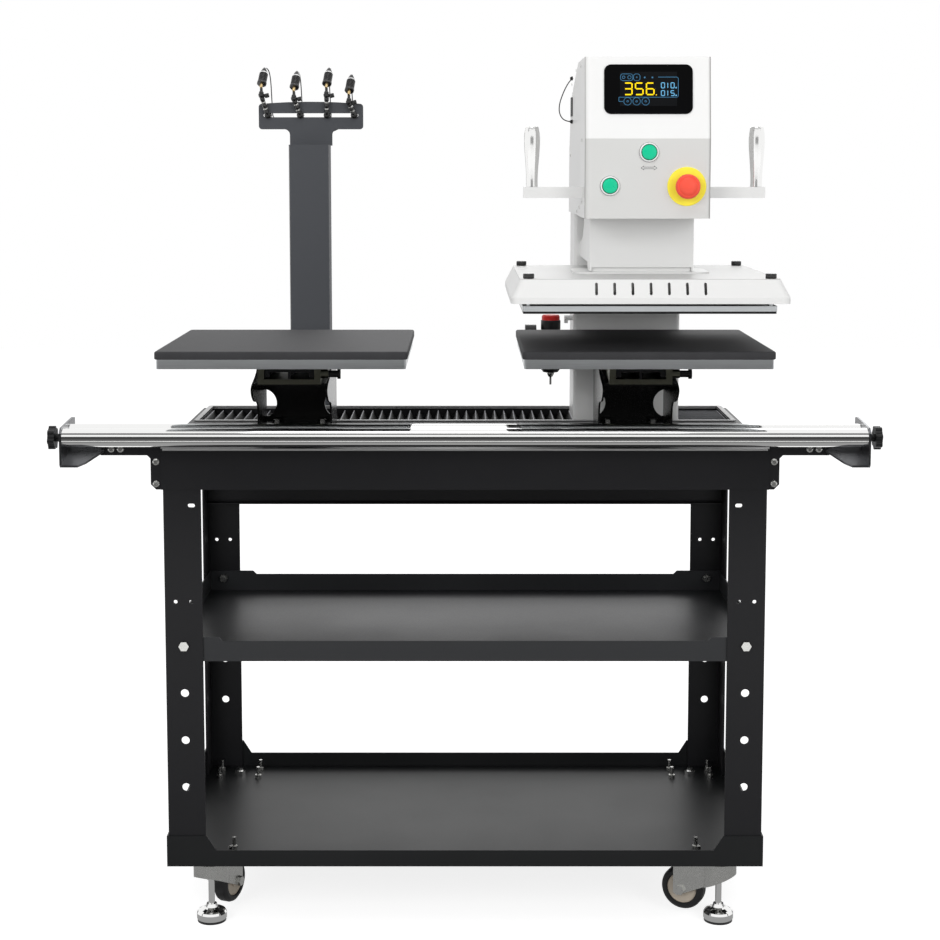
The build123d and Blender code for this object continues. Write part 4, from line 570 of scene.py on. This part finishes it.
def paint_light_shade_and_seam(kinds):
    """Painted light and shade: painted highlights on bent edges that catch the light and on the pleats'
    crests, painted shade on the cover's flat top and on the panel's lower part and right bend, and the
    panel's dark left seam.
    """
    deck = kinds["black_sheet"]
    low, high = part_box("deck_pan")
    # Painted highlight: a light strip along the deck's bent front top edge, over the sheet's random tone.
    front = ramp(low[1] + 5 * MM - deck.axis(1), EDGE_STEEP)
    top = ramp(deck.axis(2) - high[2] + 3 * MM, EDGE_STEEP) * deck.axis(0).size().under(high[0] - 3 * MM)
    sheet = deck.blend(deck.noise(0.16, 3.0), tint(25, 25, 27), tint(32, 32, 34))
    edge_light(deck, sheet, shade(0.66), front * top)
    rim = kinds["rim_sheet"]
    low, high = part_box("trough_frame")
    # Painted highlights: light lines along the trough frame's top and bottom bent edges.
    lines = ramp(rim.axis(2) - high[2] + 1.2 * MM) + ramp(low[2] + 1.5 * MM - rim.axis(2))
    edge_light(rim, tint(34, 35, 37), shade(0.74), lines)
    cloth = kinds["fabric"]
    # Painted highlight: light lines along the pleats' crests on the black cloth.
    crest = ramp(cloth.axis(2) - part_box("bellows_left")[1][2] + 1.5 * MM)
    edge_light(cloth, tint(10, 10, 11), tint(198, 199, 204), crest)
    lid = kinds["cover_coat"]
    # Painted shade: the cover's flat top painted greyer than its sides.
    flat = ramp(lid.axis(2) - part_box("heat_cover")[1][2] + 1.5 * MM, EDGE_STEEP)
    edge_light(lid, tint(236, 236, 235), tint(200, 200, 199), flat)
    post = kinds["post_coat"]
    low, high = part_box("laser_post")
    left = (low[0] + high[0]) / 2 - POST_HALF
    # Painted highlight: a light line down the post's left edge, below the yoke.
    line = ramp(left + 1.6 * MM - post.axis(0)) * post.axis(0).over(left - 0.5 * MM)
    edge_light(post, tint(80, 82, 86), shade(0.56), line * post.axis(2).under(high[2] - YOKE_DROP))
    panel = kinds["panel_coat"]
    low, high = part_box("control_panel")
    # Painted shade: the panel below its fold painted greyer, and a dark band painted on its right bend; the
    # darker line at its left edge is the panel's seam.
    below = ramp(low[2] + PANEL_FOLD - panel.axis(2), 700)
    right = ramp(panel.axis(0) - high[0] + 3.4 * MM, 500) * 0.75
    left = ramp(low[0] + 1.2 * MM - panel.axis(0)) * 0.6
    plain = panel.blend(below, tint(247, 247, 246), tint(219, 219, 217))
    edge_light(panel, plain, tint(138, 134, 131), right + left)


NODE_FINISH = {
    "black_sheet": ("deck_pan", "legs", "rear_panel", "outriggers"),
    "tray_sheet": ("upper_shelf",),
    "floor_sheet": ("lower_tray",),
    "white_coat": ("column", "neck_housing", "control_housing", "handle_arms", "ram"),
    "cover_coat": ("heat_cover",),
    "panel_coat": ("control_panel",),
    "post_coat": ("laser_post",),
    "grey_sheet": ("end_brackets",),
    "rim_sheet": ("trough_frame",),
    "gloss_black": ("pedestals",),
    "chrome": ("guard_tubes", "leveling_feet"),
    "grip_chrome": ("grip_left", "grip_right"),
    "zinc": ("frame_bolts", "caster_plates", "button_bezels", "fork_front_left", "fork_front_right",
             "fork_rear_left", "fork_rear_right"),
    "machined": ("lower_platens", "heat_platen"),
    "steel": ("shuttle_drive", "carriage", "press_cylinder", "heating_element"),
    "olive": ("sockets",),
    "silicone": ("silicone_pads",),
    "black_plastic": ("laser_arms", "laser_1", "laser_2", "laser_3", "laser_4", "filter_regulator",
                      "cover_knobs", "star_knob_left", "star_knob_right", "brake_pedal", "regulator_knob",
                      "lock_plunger_left", "lock_plunger_right"),
    "black_rubber": ("laser_leads",),
    "tyre": ("wheel_front_left", "wheel_front_right", "wheel_rear_left", "wheel_rear_right"),
    "green": ("start_button", "lamp_button"),
    "red": ("estop_button",),
    "glass": ("display_glass",),
    "fabric": ("bellows_left", "bellows_right"),
}


def dress_nodes(kinds):
    """Give every node of the frame its finish."""
    for finish, names in NODE_FINISH.items():
        for name in names:
            mesh = nodes[name].data
            mesh.materials.clear()
            mesh.materials.append(kinds[finish].material)


def stroke(line, width, closed=False):
    """Outline pieces of a flat line of the given width: one four-sided patch along each step."""
    line = np.asarray(line, float)
    if closed:
        line = np.concatenate([line, line[:1]])
    step = np.diff(line, axis=0)
    step /= np.linalg.norm(step, axis=1)[:, None]
    side = np.stack([-step[:, 1], step[:, 0]], axis=1) * width / 2
    grow = step * width / 4
    a, b = line[:-1] - grow, line[1:] + grow
    return np.stack([a - side, b - side, b + side, a + side], axis=1)


def patches(name, pieces, plane, lift, finish, body):
    """Flat marks on a plane of origin, across and up: four-sided patches, in millimetres, lifted off it."""
    origin, across, up = (np.asarray(part, float) for part in plane)
    flat = np.concatenate(pieces).reshape(-1, 2) * MM
    points = origin + flat[:, :1] * across + flat[:, 1:] * up + np.cross(across, up) * lift * MM
    return put(name, points, np.arange(len(points)).reshape(-1, 4), finish, body)


def digit_strokes(text, left, base, width, height, pitch, thick):
    """Seven-segment figures: each lit segment is a short stroke between two of the six corners.

    A 1 stands in its middle.
    """
    lit = {"0": "abcdef", "1": "bc", "3": "abgcd", "5": "afgcd", "6": "afgedc"}
    ends = {"a": ((0, 2), (1, 2)), "b": ((1, 2), (1, 1)), "c": ((1, 1), (1, 0)), "d": ((0, 0), (1, 0)),
            "e": ((0, 1), (0, 0)), "f": ((0, 2), (0, 1)), "g": ((0, 1), (1, 1))}
    gap = 0.12
    cell = np.array([width, height / 2])
    pieces = []
    for place, figure in enumerate(text):
        foot = np.array([left + place * pitch - (0.5 * width if figure == "1" else 0.0), base])
        for name in lit[figure]:
            a, b = (foot + np.array(end) * cell for end in ends[name])
            pieces.append(stroke([a + (b - a) * gap, b - (b - a) * gap], thick))
    return pieces


def circle(x, y, radius, count=24, start=0.0, turn=2 * np.pi):
    """Points of a circle or an arc."""
    angle = start + turn * np.arange(count) / (count - (turn < 6.28))
    return np.stack([x + radius * np.cos(angle), y + radius * np.sin(angle)], axis=1)


def face_of_glass():
    """Origin, across and up of the display's front face, from the node's box and its lean."""
    low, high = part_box("display_glass")
    middle = (np.array(low) + np.array(high)) / 2
    lean = np.array([0.0, math.sin(PANEL_LEAN), math.cos(PANEL_LEAN)])
    outward = np.array([0.0, -math.cos(PANEL_LEAN), math.sin(PANEL_LEAN)])
    return middle + outward * GLASS_THICK / 2, np.array([1.0, 0.0, 0.0]), lean


def dot(x, z, width, height):
    """A small upright patch about a point."""
    return stroke([(x - width / 2, z), (x + width / 2, z)], height)


def make_display(kinds):
    """Lit marks of the display, in millimetres from its middle: figures, boxes, lines and rings."""
    plane = face_of_glass()
    view = [stroke([(-30.0, 0.5), (30.0, 0.5)], 51.5)]
    warm = digit_strokes("356", -36.0, -8.2, 11.2, 17.4, 16.5, 2.0) + [dot(11.9, -8.6, 1.0, 1.4)]
    cool = digit_strokes("010", 19.3, 1.8, 4.9, 7.8, 7.25, 1.25)
    cool += digit_strokes("015", 19.3, -9.8, 4.9, 7.6, 7.25, 1.25)
    cool += [dot(41.6, z, 1.2, 2.0) for z in (2.2, -9.4)]
    thin, high_row, low_row = 0.75, 17.9, -18.4
    marks = [stroke(rounded(width, 10.2, 3.6) + (x, high_row), thin, True)
             for x, width in ((-32.8, 18.4), (-17.6, 9.8))]
    marks += [stroke(circle(x, high_row, radius, 12), thin, True)
              for x, radius in ((-37.4, 2.0), (-28.6, 2.6), (-17.6, 0.7))]
    for x in (-31.5, -17.9, -4.3):
        marks += [stroke(circle(x, low_row, 5.7), thin, True), stroke(circle(x, low_row, 1.3, 8), thin, True)]
    marks += [dot(x, 17.6, 1.2, 2.2) for x in (-5.7, 6.0)]
    high = circle(42.0, 15.4, 2.8, 6, np.pi / 2, -np.pi / 2)
    low = circle(42.0, -9.4, 2.8, 6, 0.0, -np.pi / 2)
    marks.append(stroke(np.concatenate([[(14.7, 18.2)], high, low, [(-44.0, -12.2)]]), thin))
    marks.append(stroke([(-44.6, -12.2), (-44.6, -18.6), (-38.6, -18.6)], thin))
    layers = (("field", view, 0.06, "screen"), ("temperature", warm, 0.14, "amber_light"),
              ("times", cool, 0.14, "blue_light"), ("marks", marks, 0.12, "blue_line"))
    for name, pieces, lift, finish in layers:
        patches(f"screen_{name}", pieces, plane, lift, kinds[finish], "shuttle")


def make_panel_marks(kinds):
    """Outlined double arrow under the upper button."""
    x, _, z = button_place("start_button")
    half, head, thick, rise = 12, 4.2, 1.2, 2.9
    neck = half - head
    tips = [(-half, 0), (-neck, rise), (-neck, thick), (neck, thick), (neck, rise)]
    arrow = tips + [(-x, -z) for x, z in tips]
    plane = ((x, panel_front(), z - 23.6 * MM), (1, 0, 0), (0, 0, 1))
    patches("arrow_mark", [stroke(arrow, 0.7, True)], plane, 0.08, kinds["ink"], "shuttle")


def panel_front():
    """Y of the control panel's upright front."""
    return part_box("control_panel")[0][1]


def button_place(node):
    """Centre of a button's front face."""
    return corner(node, 0.5, 0, 0.5)


def make_buttons(kinds):
    """Crowned caps in pale bezels over a dark disc painted as shade, and the stepped mushroom on its disc and
    collar.
    """
    out = (0, -1, 0)
    ring = [(12.2, 0.4), (12.2, 4.2), (12.5, 4.8), (13.2, 4.9), (14.3, 3.6), (14.6, 2.2), (14.6, 0.4)]
    # Painted shade: a dark disc under each bezel darkens the gap round the cap and rims the bezel's outside.
    painted_shade_ring = [(7.4, 0.0), (15.0, 0.0), (15.0, 0.4), (12.1, 0.5), (7.4, 0.5)]
    cap = [(0, 6.9), (5, 6.8), (8.8, 6.3), (10.4, 5.7), (11.1, 4.8), (11.3, 3.6), (7, 3.5), (7, -12),
           (0, -12)]
    for node, name in (("start_button", "upper"), ("lamp_button", "lower")):
        spot = button_place(node)
        foot = (spot[0], panel_front(), spot[2])
        bezel = lathe(f"bezel_{name}", ring, foot, out, kinds["pale_ring"], "shuttle", 56)
        if name == "upper":
            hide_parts("button_bezels")
        lathe(f"well_{name}", painted_shade_ring, foot, out, kinds["sole"], "shuttle", 48)
        piece = lathe(f"cap_{name}", cap, foot, out, kinds["green"], f"{node}_body", 48)
        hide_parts(node)
    spot = button_place("estop_button")
    foot = (spot[0], panel_front(), spot[2])
    disc = [(0, 0), (29.3, 0), (29.3, 1.4), (28.7, 2.0), (0, 2.0)]
    lathe("stop_disc", disc, foot, out, kinds["yellow"], "shuttle", 64)
    collar = [(8.4, 1.9), (14.6, 1.9), (14.6, 3.2), (13.4, 3.8), (13.2, 8.2), (12.4, 9.0), (8.4, 9.0)]
    lathe("stop_collar", collar, foot, out, kinds["black_plastic"], "shuttle", 40)
    head = [(8, -12), (8, 14), (10, 14), (16.5, 13.8), (18.2, 14.6), (18.7, 16.2), (18.6, 19.4), (17.9, 21.6),
            (16.4, 23.2), (14.9, 23.7), (14.2, 23.3), (13.6, 23.8), (11.4, 25.2), (8.6, 26.3), (4.6, 27.0),
            (0, 27.1), (0, -12)]
    cap = lathe("stop_mushroom", head, foot, out, kinds["red"], "estop_button_body", 64)
    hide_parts("estop_button")


def folded_strip(low, high, dip, rows=3, samples=8):
    """Points of a pleated cover: along X the height swings between crest and valley with soft creases."""
    along = np.linspace(0, 1, COVER_FOLDS * samples + 1)
    zig = 1 - 2 * np.abs(along * COVER_FOLDS % 1.0 - 0.5)
    soft = 0.5 - 0.5 * np.cos(np.pi * np.clip(zig * 1.08 - 0.04, 0, 1))
    grid = np.empty((len(along), rows, 3))
    grid[..., 0] = (low[0] + (high[0] - low[0]) * along)[:, None]
    grid[..., 1] = np.linspace(low[1], high[1], rows)[None, :]
    grid[..., 2] = (high[2] - dip * (0.35 * soft + 0.65 * zig))[:, None]
    return grid


def make_covers(kinds):
    """Pleated covers on both sides of the column: the left one rides on the cart and the right one is fixed
    where it stands.
    """
    for side in ("left", "right"):
        node = f"bellows_{side}"
        low, high = (np.array(c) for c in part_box(node))
        grid = folded_strip(low, high, COVER_DIP)
        faces = quads(*grid.shape[:2])[:, ::-1]
        cover = put(f"cover_{side}", grid, faces, kinds["fabric"], None)
        shell = cover.modifiers.new("cloth", "SOLIDIFY")
        shell.thickness = COVER_THICK
        shell.offset = -1
        bpy.context.view_layer.objects.active = cover
        bpy.ops.object.modifier_apply(modifier=shell.name)
        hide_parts(node)
        if side == "left":
            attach(cover, "cart")
            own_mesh(cover)
        else:
            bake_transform(cover)


def make_laser_heads(kinds):
    """Line lasers: ribbed black barrels with a brass neck, a pale ring and a cone tail, on ball stems."""
    start = 11.5 + 3.1 * np.arange(6)
    ribs = np.stack([np.stack([np.full(6, radius), start + reach], 1)
                     for radius, reach in ((6.8, 0.0), (7.9, 0.5), (7.9, 1.9), (6.8, 2.4))], 1)
    nose = [(0, 5.4), (7.6, 5.4), (8.5, 6.4), (8.7, 8.2), (8.4, 10.2), (7.2, 11.0)]
    barrel = np.concatenate([nose, ribs.reshape(-1, 2), [(6.4, 30.0), (0, 30.0)]])
    neck = [(0, -2.6), (1.9, -2.6), (2.4, -1.4), (2.6, 0.4), (3.2, 4.2), (3.4, 5.6), (0, 5.6)]
    ring = [(0, 30), (6.5, 30), (6.9, 30.5), (6.9, 32.0), (6.2, 32.6), (0, 32.6)]
    tail = [(0, 32.6), (6.3, 32.6), (6.2, 34.0), (4.6, 39.5), (2.4, 44.0), (1.3, 45.2), (0, 45.3)]
    stem = [(0, -4.5), (2.4, -4), (4.2, -1.8), (4.5, 0), (4.0, 2.2), (2.7, 3.6), (2.4, 9), (0, 9.4)]
    for number in LASERS:
        body, black = f"laser_{number}_body", kinds["laser_black"]
        foot, aim = laser_line(number)
        flutes = (8, 0.025)
        shape = lathe(f"laser_barrel_{number}", barrel, foot, aim, black, body, 32, flutes)
        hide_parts(f"laser_{number}")
        lathe(f"laser_neck_{number}", neck, foot, aim, kinds["brass"], body, 28)
        lathe(f"laser_ring_{number}", ring, foot, aim, kinds["pale_ring"], body, 28)
        lathe(f"laser_tail_{number}", tail, foot, aim, black, body, 28)
        lathe(f"laser_stem_{number}", stem, laser_ball(number), (0, 0, 1), black, body, 24)


def laser_ball(number):
    """Middle of the ball that a laser tilts about."""
    return joint_place(f"laser_{number}_tilt")


def laser_line(number):
    """Foot of a laser's barrel and the direction of its axis, a little askew as they are set by hand."""
    aim = np.array([0.1, math.sin(LASER_LEAN), math.cos(LASER_LEAN)])
    return laser_ball(number) + np.array([0, -3, 11]) * MM, aim / np.linalg.norm(aim)


def make_laser_arms(kinds):
    """Arms of the lasers: a clamp in the slot, a link with pale rings, a cup and a knurled thumb screw."""
    ring = [(0, -1.4), (3.6, -1.4), (4.4, -0.8), (4.4, 0.8), (3.6, 1.4), (0, 1.4)]
    clamp = [(0, 8.6), (2.6, 8.4), (3.9, 7.4), (4.3, 6.0), (6, 5.2), (6, 0.1), (0, 0.1)]
    nut = [(0, -3.1), (3.1, -3.1), (3.1, 0.1), (6.1, 0.1), (6.5, 0.6), (6.5, 5.4), (5.6, 6.0), (0, 6.0)]
    bowl = [(0, -4.6), (2.6, -4.4), (4.4, -2.4), (5.4, 0.4), (5.6, 2.6), (5.2, 3.6), (4.7, 3.8), (4.7, 0),
            (0, 0)]
    thumb = [(0, 3), (1.8, 3), (1.8, 6), (3.3, 6.4), (3.7, 7), (3.7, 13.4), (3.2, 14), (0, 14)]
    share = np.linspace(0, 1, 49)
    bulge = 2.5 + 1.9 * np.abs(np.sin(3 * np.pi * share)) ** 0.6
    for number, step, rise in zip(LASERS, LASER_STEPS, LASER_RISES):
        ball = laser_ball(number)
        face = ball + np.array([step, 13.0, -rise]) * MM
        foot, cup = face + np.array([0, -5, 0]) * MM, ball + np.array([0, 0, -5]) * MM
        reach = cup - foot
        length = np.linalg.norm(reach) / MM
        link = np.concatenate([[(0, 0)], np.stack([bulge, share * length], axis=1), [(0, length)]])
        arm = lathe(f"laser_arm_{number}", link, foot, reach, kinds["laser_black"], "cart", 24)
        if number == 1:
            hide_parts("laser_arms")
        for place in (1, 2):
            centre = foot + reach * (place / 3)
            lathe(f"laser_link_ring_{number}_{place}", ring, centre, reach, kinds["zinc"], "cart", 24)
        rear, below = face + (0, YOKE_SHEET * MM, 0), cup + (0, 0, -2 * MM)
        pieces = (("clamp", clamp, face, (0, -1, 0), 28, None), ("nut", nut, rear, (0, 1, 0), 48, (12, 0.05)),
                  ("cup", bowl, cup, (0, 0, 1), 28, None),
                  ("thumb", thumb, below, (1, 0, 0.25), 48, (12, 0.06)))
        for name, profile, centre, way, sides, flutes in pieces:
            lathe(f"laser_{name}_{number}", profile, centre, way, kinds["laser_black"], "cart", sides,
                  flutes)


def smooth_line(points):
    """Points along the smooth line that a quadratic NURBS spline makes of its control points."""
    data = bpy.data.curves.new("route", "CURVE")
    data.dimensions = "3D"
    data.resolution_u = 10
    spline = data.splines.new("NURBS")
    spline.points.add(len(points) - 1)
    spline.points.foreach_set("co", np.concatenate([points, np.ones((len(points), 1))], axis=1).ravel())
    spline.order_u = 3
    spline.use_endpoint_u = True
    thing = bpy.data.objects.new("route", data)
    mesh = bpy.data.meshes.new_from_object(thing)
    line = np.empty(3 * len(mesh.vertices))
    mesh.vertices.foreach_get("co", line)
    bpy.data.meshes.remove(mesh)
    bpy.data.objects.remove(thing)
    bpy.data.curves.remove(data)
    return line.reshape(-1, 3)


def make_laser_leads(kinds):
    """Leads from the lasers' tails, down behind the yoke and into the post's back."""
    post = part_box("laser_post")
    middle = (post[0][0] + post[1][0]) / 2
    for number, rise, length, bow in zip(LASERS, LASER_RISES, LEAD_LENGTHS, LEAD_BOWS):
        ball = laser_ball(number)
        foot, aim = laser_line(number)
        slot_z = ball[2] - rise * MM
        back = ball[1] + (13.0 + YOKE_SHEET) * MM
        side = 1 if ball[0] < middle else -1
        low = middle + (4 * number - 10 - side * 10) * MM
        x, y, z = start = foot + aim * 41 * MM
        route = np.array([start, (x, y + 6 * MM, z + 5 * MM), (x + bow * MM, back + 17 * MM, z - 4 * MM),
                          (x + (bow + 3) * MM, back + 13 * MM, slot_z + 18 * MM),
                          (x + (bow + 5) * MM, back + 9 * MM, slot_z - 12 * MM),
                          (low - side * 2 * MM, back + 6 * MM, slot_z - 37 * MM),
                          (low, back + 0.9 * MM, slot_z - 53 * MM), (low, back + 0.9 * MM, slot_z - 83 * MM)])
        line = smooth_line(route)
        lead = tube(f"laser_lead_{number}", line, LEAD_R, kinds["black_rubber"], None)
        if number == 1:
            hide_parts("laser_leads")
        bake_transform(lead)
    plug = [(0, 3.2), (3.0, 3.2), (4.8, 2.4), (5.6, 0.8), (5.6, 0.0), (0, 0.0)]
    for end, x in (("left", -14), ("right", 14)):
        lathe(f"lead_grommet_{end}", plug, (middle + x * MM, back, slot_z - 83 * MM), (0, 1, 0),
              kinds["black_rubber"], "cart", 28)


def screw(name, place, direction, radius, finish, rise=0.34):
    """Pan screw of the head: a low dome, sunk by a fifth of its radius where a cross lies over its middle."""
    side, up, along = frame_of(direction)
    share = np.array([0.0, 0.1, 0.2, 0.32, 0.44, 0.56, 0.62, 0.78, 0.92, 1.0, 1.0])[:, None]
    angle = (2 * np.pi * np.arange(40) / 40)[None, :]
    x, y = share * np.cos(angle), share * np.sin(angle)
    height = rise * (1 - 0.55 * share ** 2) * np.ones_like(angle)
    height[-1] = 0.0
    height -= 0.2 * ((np.minimum(abs(x), abs(y)) < 0.13) & (share < 0.6))
    points = place + radius * MM * (x[..., None] * side + y[..., None] * up + height[..., None] * along)
    put(name, points, quads(len(share), 40, True), finish, "shuttle", True, 40.0)


def make_screws(kinds):
    """Cross-head screws of the head's sides, top and bottom; those near a side's middle are larger."""
    low, high = (np.array(c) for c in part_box("control_housing"))
    middle = (low[0] + high[0]) / 2
    spots = ((-120.4, 1352.0), (3.2, 1352.0), (-158.0, 1237.1), (-168.1, 1141.6), (-92.6, 1132.2),
             (-40.1, 1124.5), (120.0, 1334.0), (150.0, 1215.0))
    for index, (y, z) in enumerate(spots, 1):
        radius = 3.4 if abs(y) < 160 and z < 1350 else 3.0
        for end, side in (("left", -1), ("right", 1)):
            place = np.array([middle + side * HEAD_HALF, y * MM, z * MM])
            screw(f"head_screw_{index}_{end}", place, (side, 0, 0), radius, kinds["zinc"])
    for end, side in (("left", -1), ("right", 1)):
        top = np.array([middle + side * 75 * MM, -160 * MM, high[2]])
        screw(f"head_top_screw_{end}", top, (0, 0, 1), 3.4, kinds["zinc"], 0.5)
        under = np.array([middle + side * 68 * MM, -190 * MM, low[2]])
        screw(f"head_low_screw_{end}", under, (0, 0, -1), 3.4, kinds["zinc"], 0.5)


def make_head_lead(kinds):
    """Thin lead in a loop at the head's left rear side, between two glands, and the black louvre."""
    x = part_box("control_housing")[0][0]
    rubber = kinds["black_rubber"]
    route = np.array([(0.5, 100, 1343), (-5, 100, 1340), (-15, 101, 1322), (-23, 102, 1299), (-22, 102, 1282),
                      (-12, 101, 1271), (0.5, 100, 1271)]) * MM + (x, 0, 0)
    line = smooth_line(route)
    lead = tube("head_lead", line, HEAD_LEAD_R, rubber, "shuttle")
    gland = [(0, 0), (3.4, 0), (3.4, 2.2), (2.6, 3.0), (2.0, 4.6), (0, 4.6)]
    for name, z in (("high", 1343), ("low", 1271)):
        place = (x, 100 * MM, z * MM)
        lathe(f"head_gland_{name}", gland, place, (-1, 0, 0), rubber, "shuttle", 24)
    thick = 1.8 * MM
    plane = ((x - thick, 118 * MM, 1296 * MM), (0, -1, 0), (0, 0, 1))
    outline = rounded(34 * MM, 32 * MM, 3 * MM)
    slab("head_louvre", outline, thick, *plane, kinds["sole"], "shuttle", "black_plastic")
    # Painted highlights: the slats drawn lighter than the louvre where their edges catch the light.
    slats = [stroke([(-13, z), (13, z)], 1.6) for z in (-11, -7.4, -3.7, 0, 3.7, 7.4, 11)]
    patches("head_slats", slats, plane, 0.1, kinds["tray_sheet"], "shuttle")


def make_pads(kinds):
    """Silicone pads: a round-cornered outline carried up a profile of (inset, height) to a soft edge."""
    low, high = (np.array(c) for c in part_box("silicone_pads"))
    profile = ((1.2, 0.0), (0.3, 0.5), (0.0, 1.4), (0.0, 8.8), (0.25, 10.2), (0.9, 11.2), (2.0, 11.8),
               (3.6, 12.0), (6.0, 12.05))
    size = high[1] - low[1]
    for name, x in (("left", low[0] + size / 2), ("right", high[0] - size / 2)):
        middle = np.array([x, (low[1] + high[1]) / 2])
        rows = []
        for inset, height in profile:
            width = size - 2 * inset * MM
            flat = rounded(width, width, (7.6 - inset) * MM) + middle
            rows.append(np.column_stack([flat, np.full(len(flat), low[2] + height * MM)]))
        count = len(rows[0])
        faces = quads(len(rows), count, True)[:, ::-1].tolist()
        faces += [list(range(count))[::-1], [(len(rows) - 1) * count + k for k in range(count)]]
        pad = put(f"pad_{name}", rows, faces, kinds["silicone"], "cart", True, 50.0)
        if name == "left":
            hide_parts("silicone_pads")


def make_cover_knobs(kinds):
    """Knurled cap knobs on the four studs of the cover."""
    low, high = (np.array(c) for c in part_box("heat_cover"))
    x, y, _ = (low + high) / 2
    profile = [(0, 8.0), (6.2, 8.0), (7.5, 7.4), (8.0, 6.4), (8.0, 1.2), (7.5, 0.4), (6.4, 0.0), (0, 0.0)]
    for index, (a, b) in enumerate(((-1, -1), (1, -1), (-1, 1), (1, 1)), 1):
        place = (x + a * STUD_REACH, y + b * STUD_REACH, high[2])
        knob = lathe(f"cover_knob_{index}", profile, place, (0, 0, 1), kinds["laser_black"], "press", 96,
                     (20, 0.045))
        if index == 1:
            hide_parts("cover_knobs")


def make_gauge(kinds):
    """Dial of the air gauge: a pale face with plain ticks and a needle."""
    knob = joint_place("regulator_turn")
    middle = (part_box("filter_regulator")[0][0] - 0.2 * MM, knob[1], knob[2] - 7 * MM)
    dial = [(0, 0), (15.6, 0), (15.6, 0.3), (0, 0.3)]
    lathe("gauge_face", dial, middle, (-1, 0, 0), kinds["pale_ring"], "shuttle", 48)
    ticks = [stroke([(10.6 * np.sin(a), 10.6 * np.cos(a)), (13.6 * np.sin(a), 13.6 * np.cos(a))], 0.7)
             for a in np.radians(np.linspace(-135, 135, GAUGE_TICKS))]
    ticks.append(stroke([(2.2, -2.2), (-8.4, 8.4)], 0.8))
    plane = (middle, (0, -1, 0), (0, 0, 1))
    patches("gauge_ticks", ticks, plane, 0.5, kinds["sole"], "shuttle")


def joint_place(name):
    """A joint's point at rest."""
    return np.array(next(j["pos_m"] for j in frame["joints"] if j["name"] == name), float)


def dress_part(name, choices):
    """Give parts of a node other finishes: each choice is a finish and a test on the middles of the faces."""
    mesh = nodes[name].data
    place = np.empty(3 * len(mesh.polygons))
    mesh.polygons.foreach_get("center", place)
    place = place.reshape(-1, 3)
    index = np.zeros(len(place), int)
    for number, (finish, test) in enumerate(choices, 1):
        mesh.materials.append(finish.material)
        index[test(place)] = number
    mesh.polygons.foreach_set("material_index", index)


def dress_details(kinds):
    """Second finishes on parts of nodes: hubs, feet, platens' carriers, the heat platen's dark lower band,
    the regulator.
    """
    for name in NODE_FINISH["tyre"]:
        centre = joint_place(f"{name}_roll")
        dress_part(name, [(kinds["hub"], lambda p, c=centre: np.linalg.norm(p - c, axis=1) < HUB_R)])
    dress_part("leveling_feet", [(kinds["black_rubber"], lambda p: p[:, 2] < 4.2 * MM)])
    platen_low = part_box("lower_platens")[1][2] - PLATEN_THICK
    dress_part("lower_platens", [(kinds["sole"], lambda p: p[:, 2] < platen_low - 0.2 * MM)])
    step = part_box("heat_platen")[0][2] + SOLE_STEP
    dress_part("heat_platen", [(kinds["sole"], lambda p: p[:, 2] < step - 0.2 * MM)])
    low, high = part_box("filter_regulator")
    knob = joint_place("regulator_turn")
    dress_part("filter_regulator", [(kinds["zinc"], lambda p: p[:, 2] < low[2] + 22.4 * MM),
                                    (kinds["white_coat"], lambda p: p[:, 0] > knob[0] + 19.2 * MM),
                                    (kinds["clear_white"], lambda p: p[:, 2] > high[2] - 16 * MM)])
    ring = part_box("regulator_knob")[0][2] + 18.1 * MM
    dress_part("regulator_knob", [(kinds["red_ring"], lambda p: p[:, 2] > ring)])


def main():
    """Set the stage, then dress the machine and add its small pieces."""
    make_camera()
    make_room()
    kinds = make_finishes()
    paint_light_shade_and_seam(kinds)
    dress_nodes(kinds)
    dress_details(kinds)
    make_display(kinds)
    make_panel_marks(kinds)
    make_buttons(kinds)
    make_covers(kinds)
    make_pads(kinds)
    make_laser_heads(kinds)
    make_laser_arms(kinds)
    make_laser_leads(kinds)
    make_head_lead(kinds)
    make_screws(kinds)
    make_cover_knobs(kinds)
    make_gauge(kinds)


main()
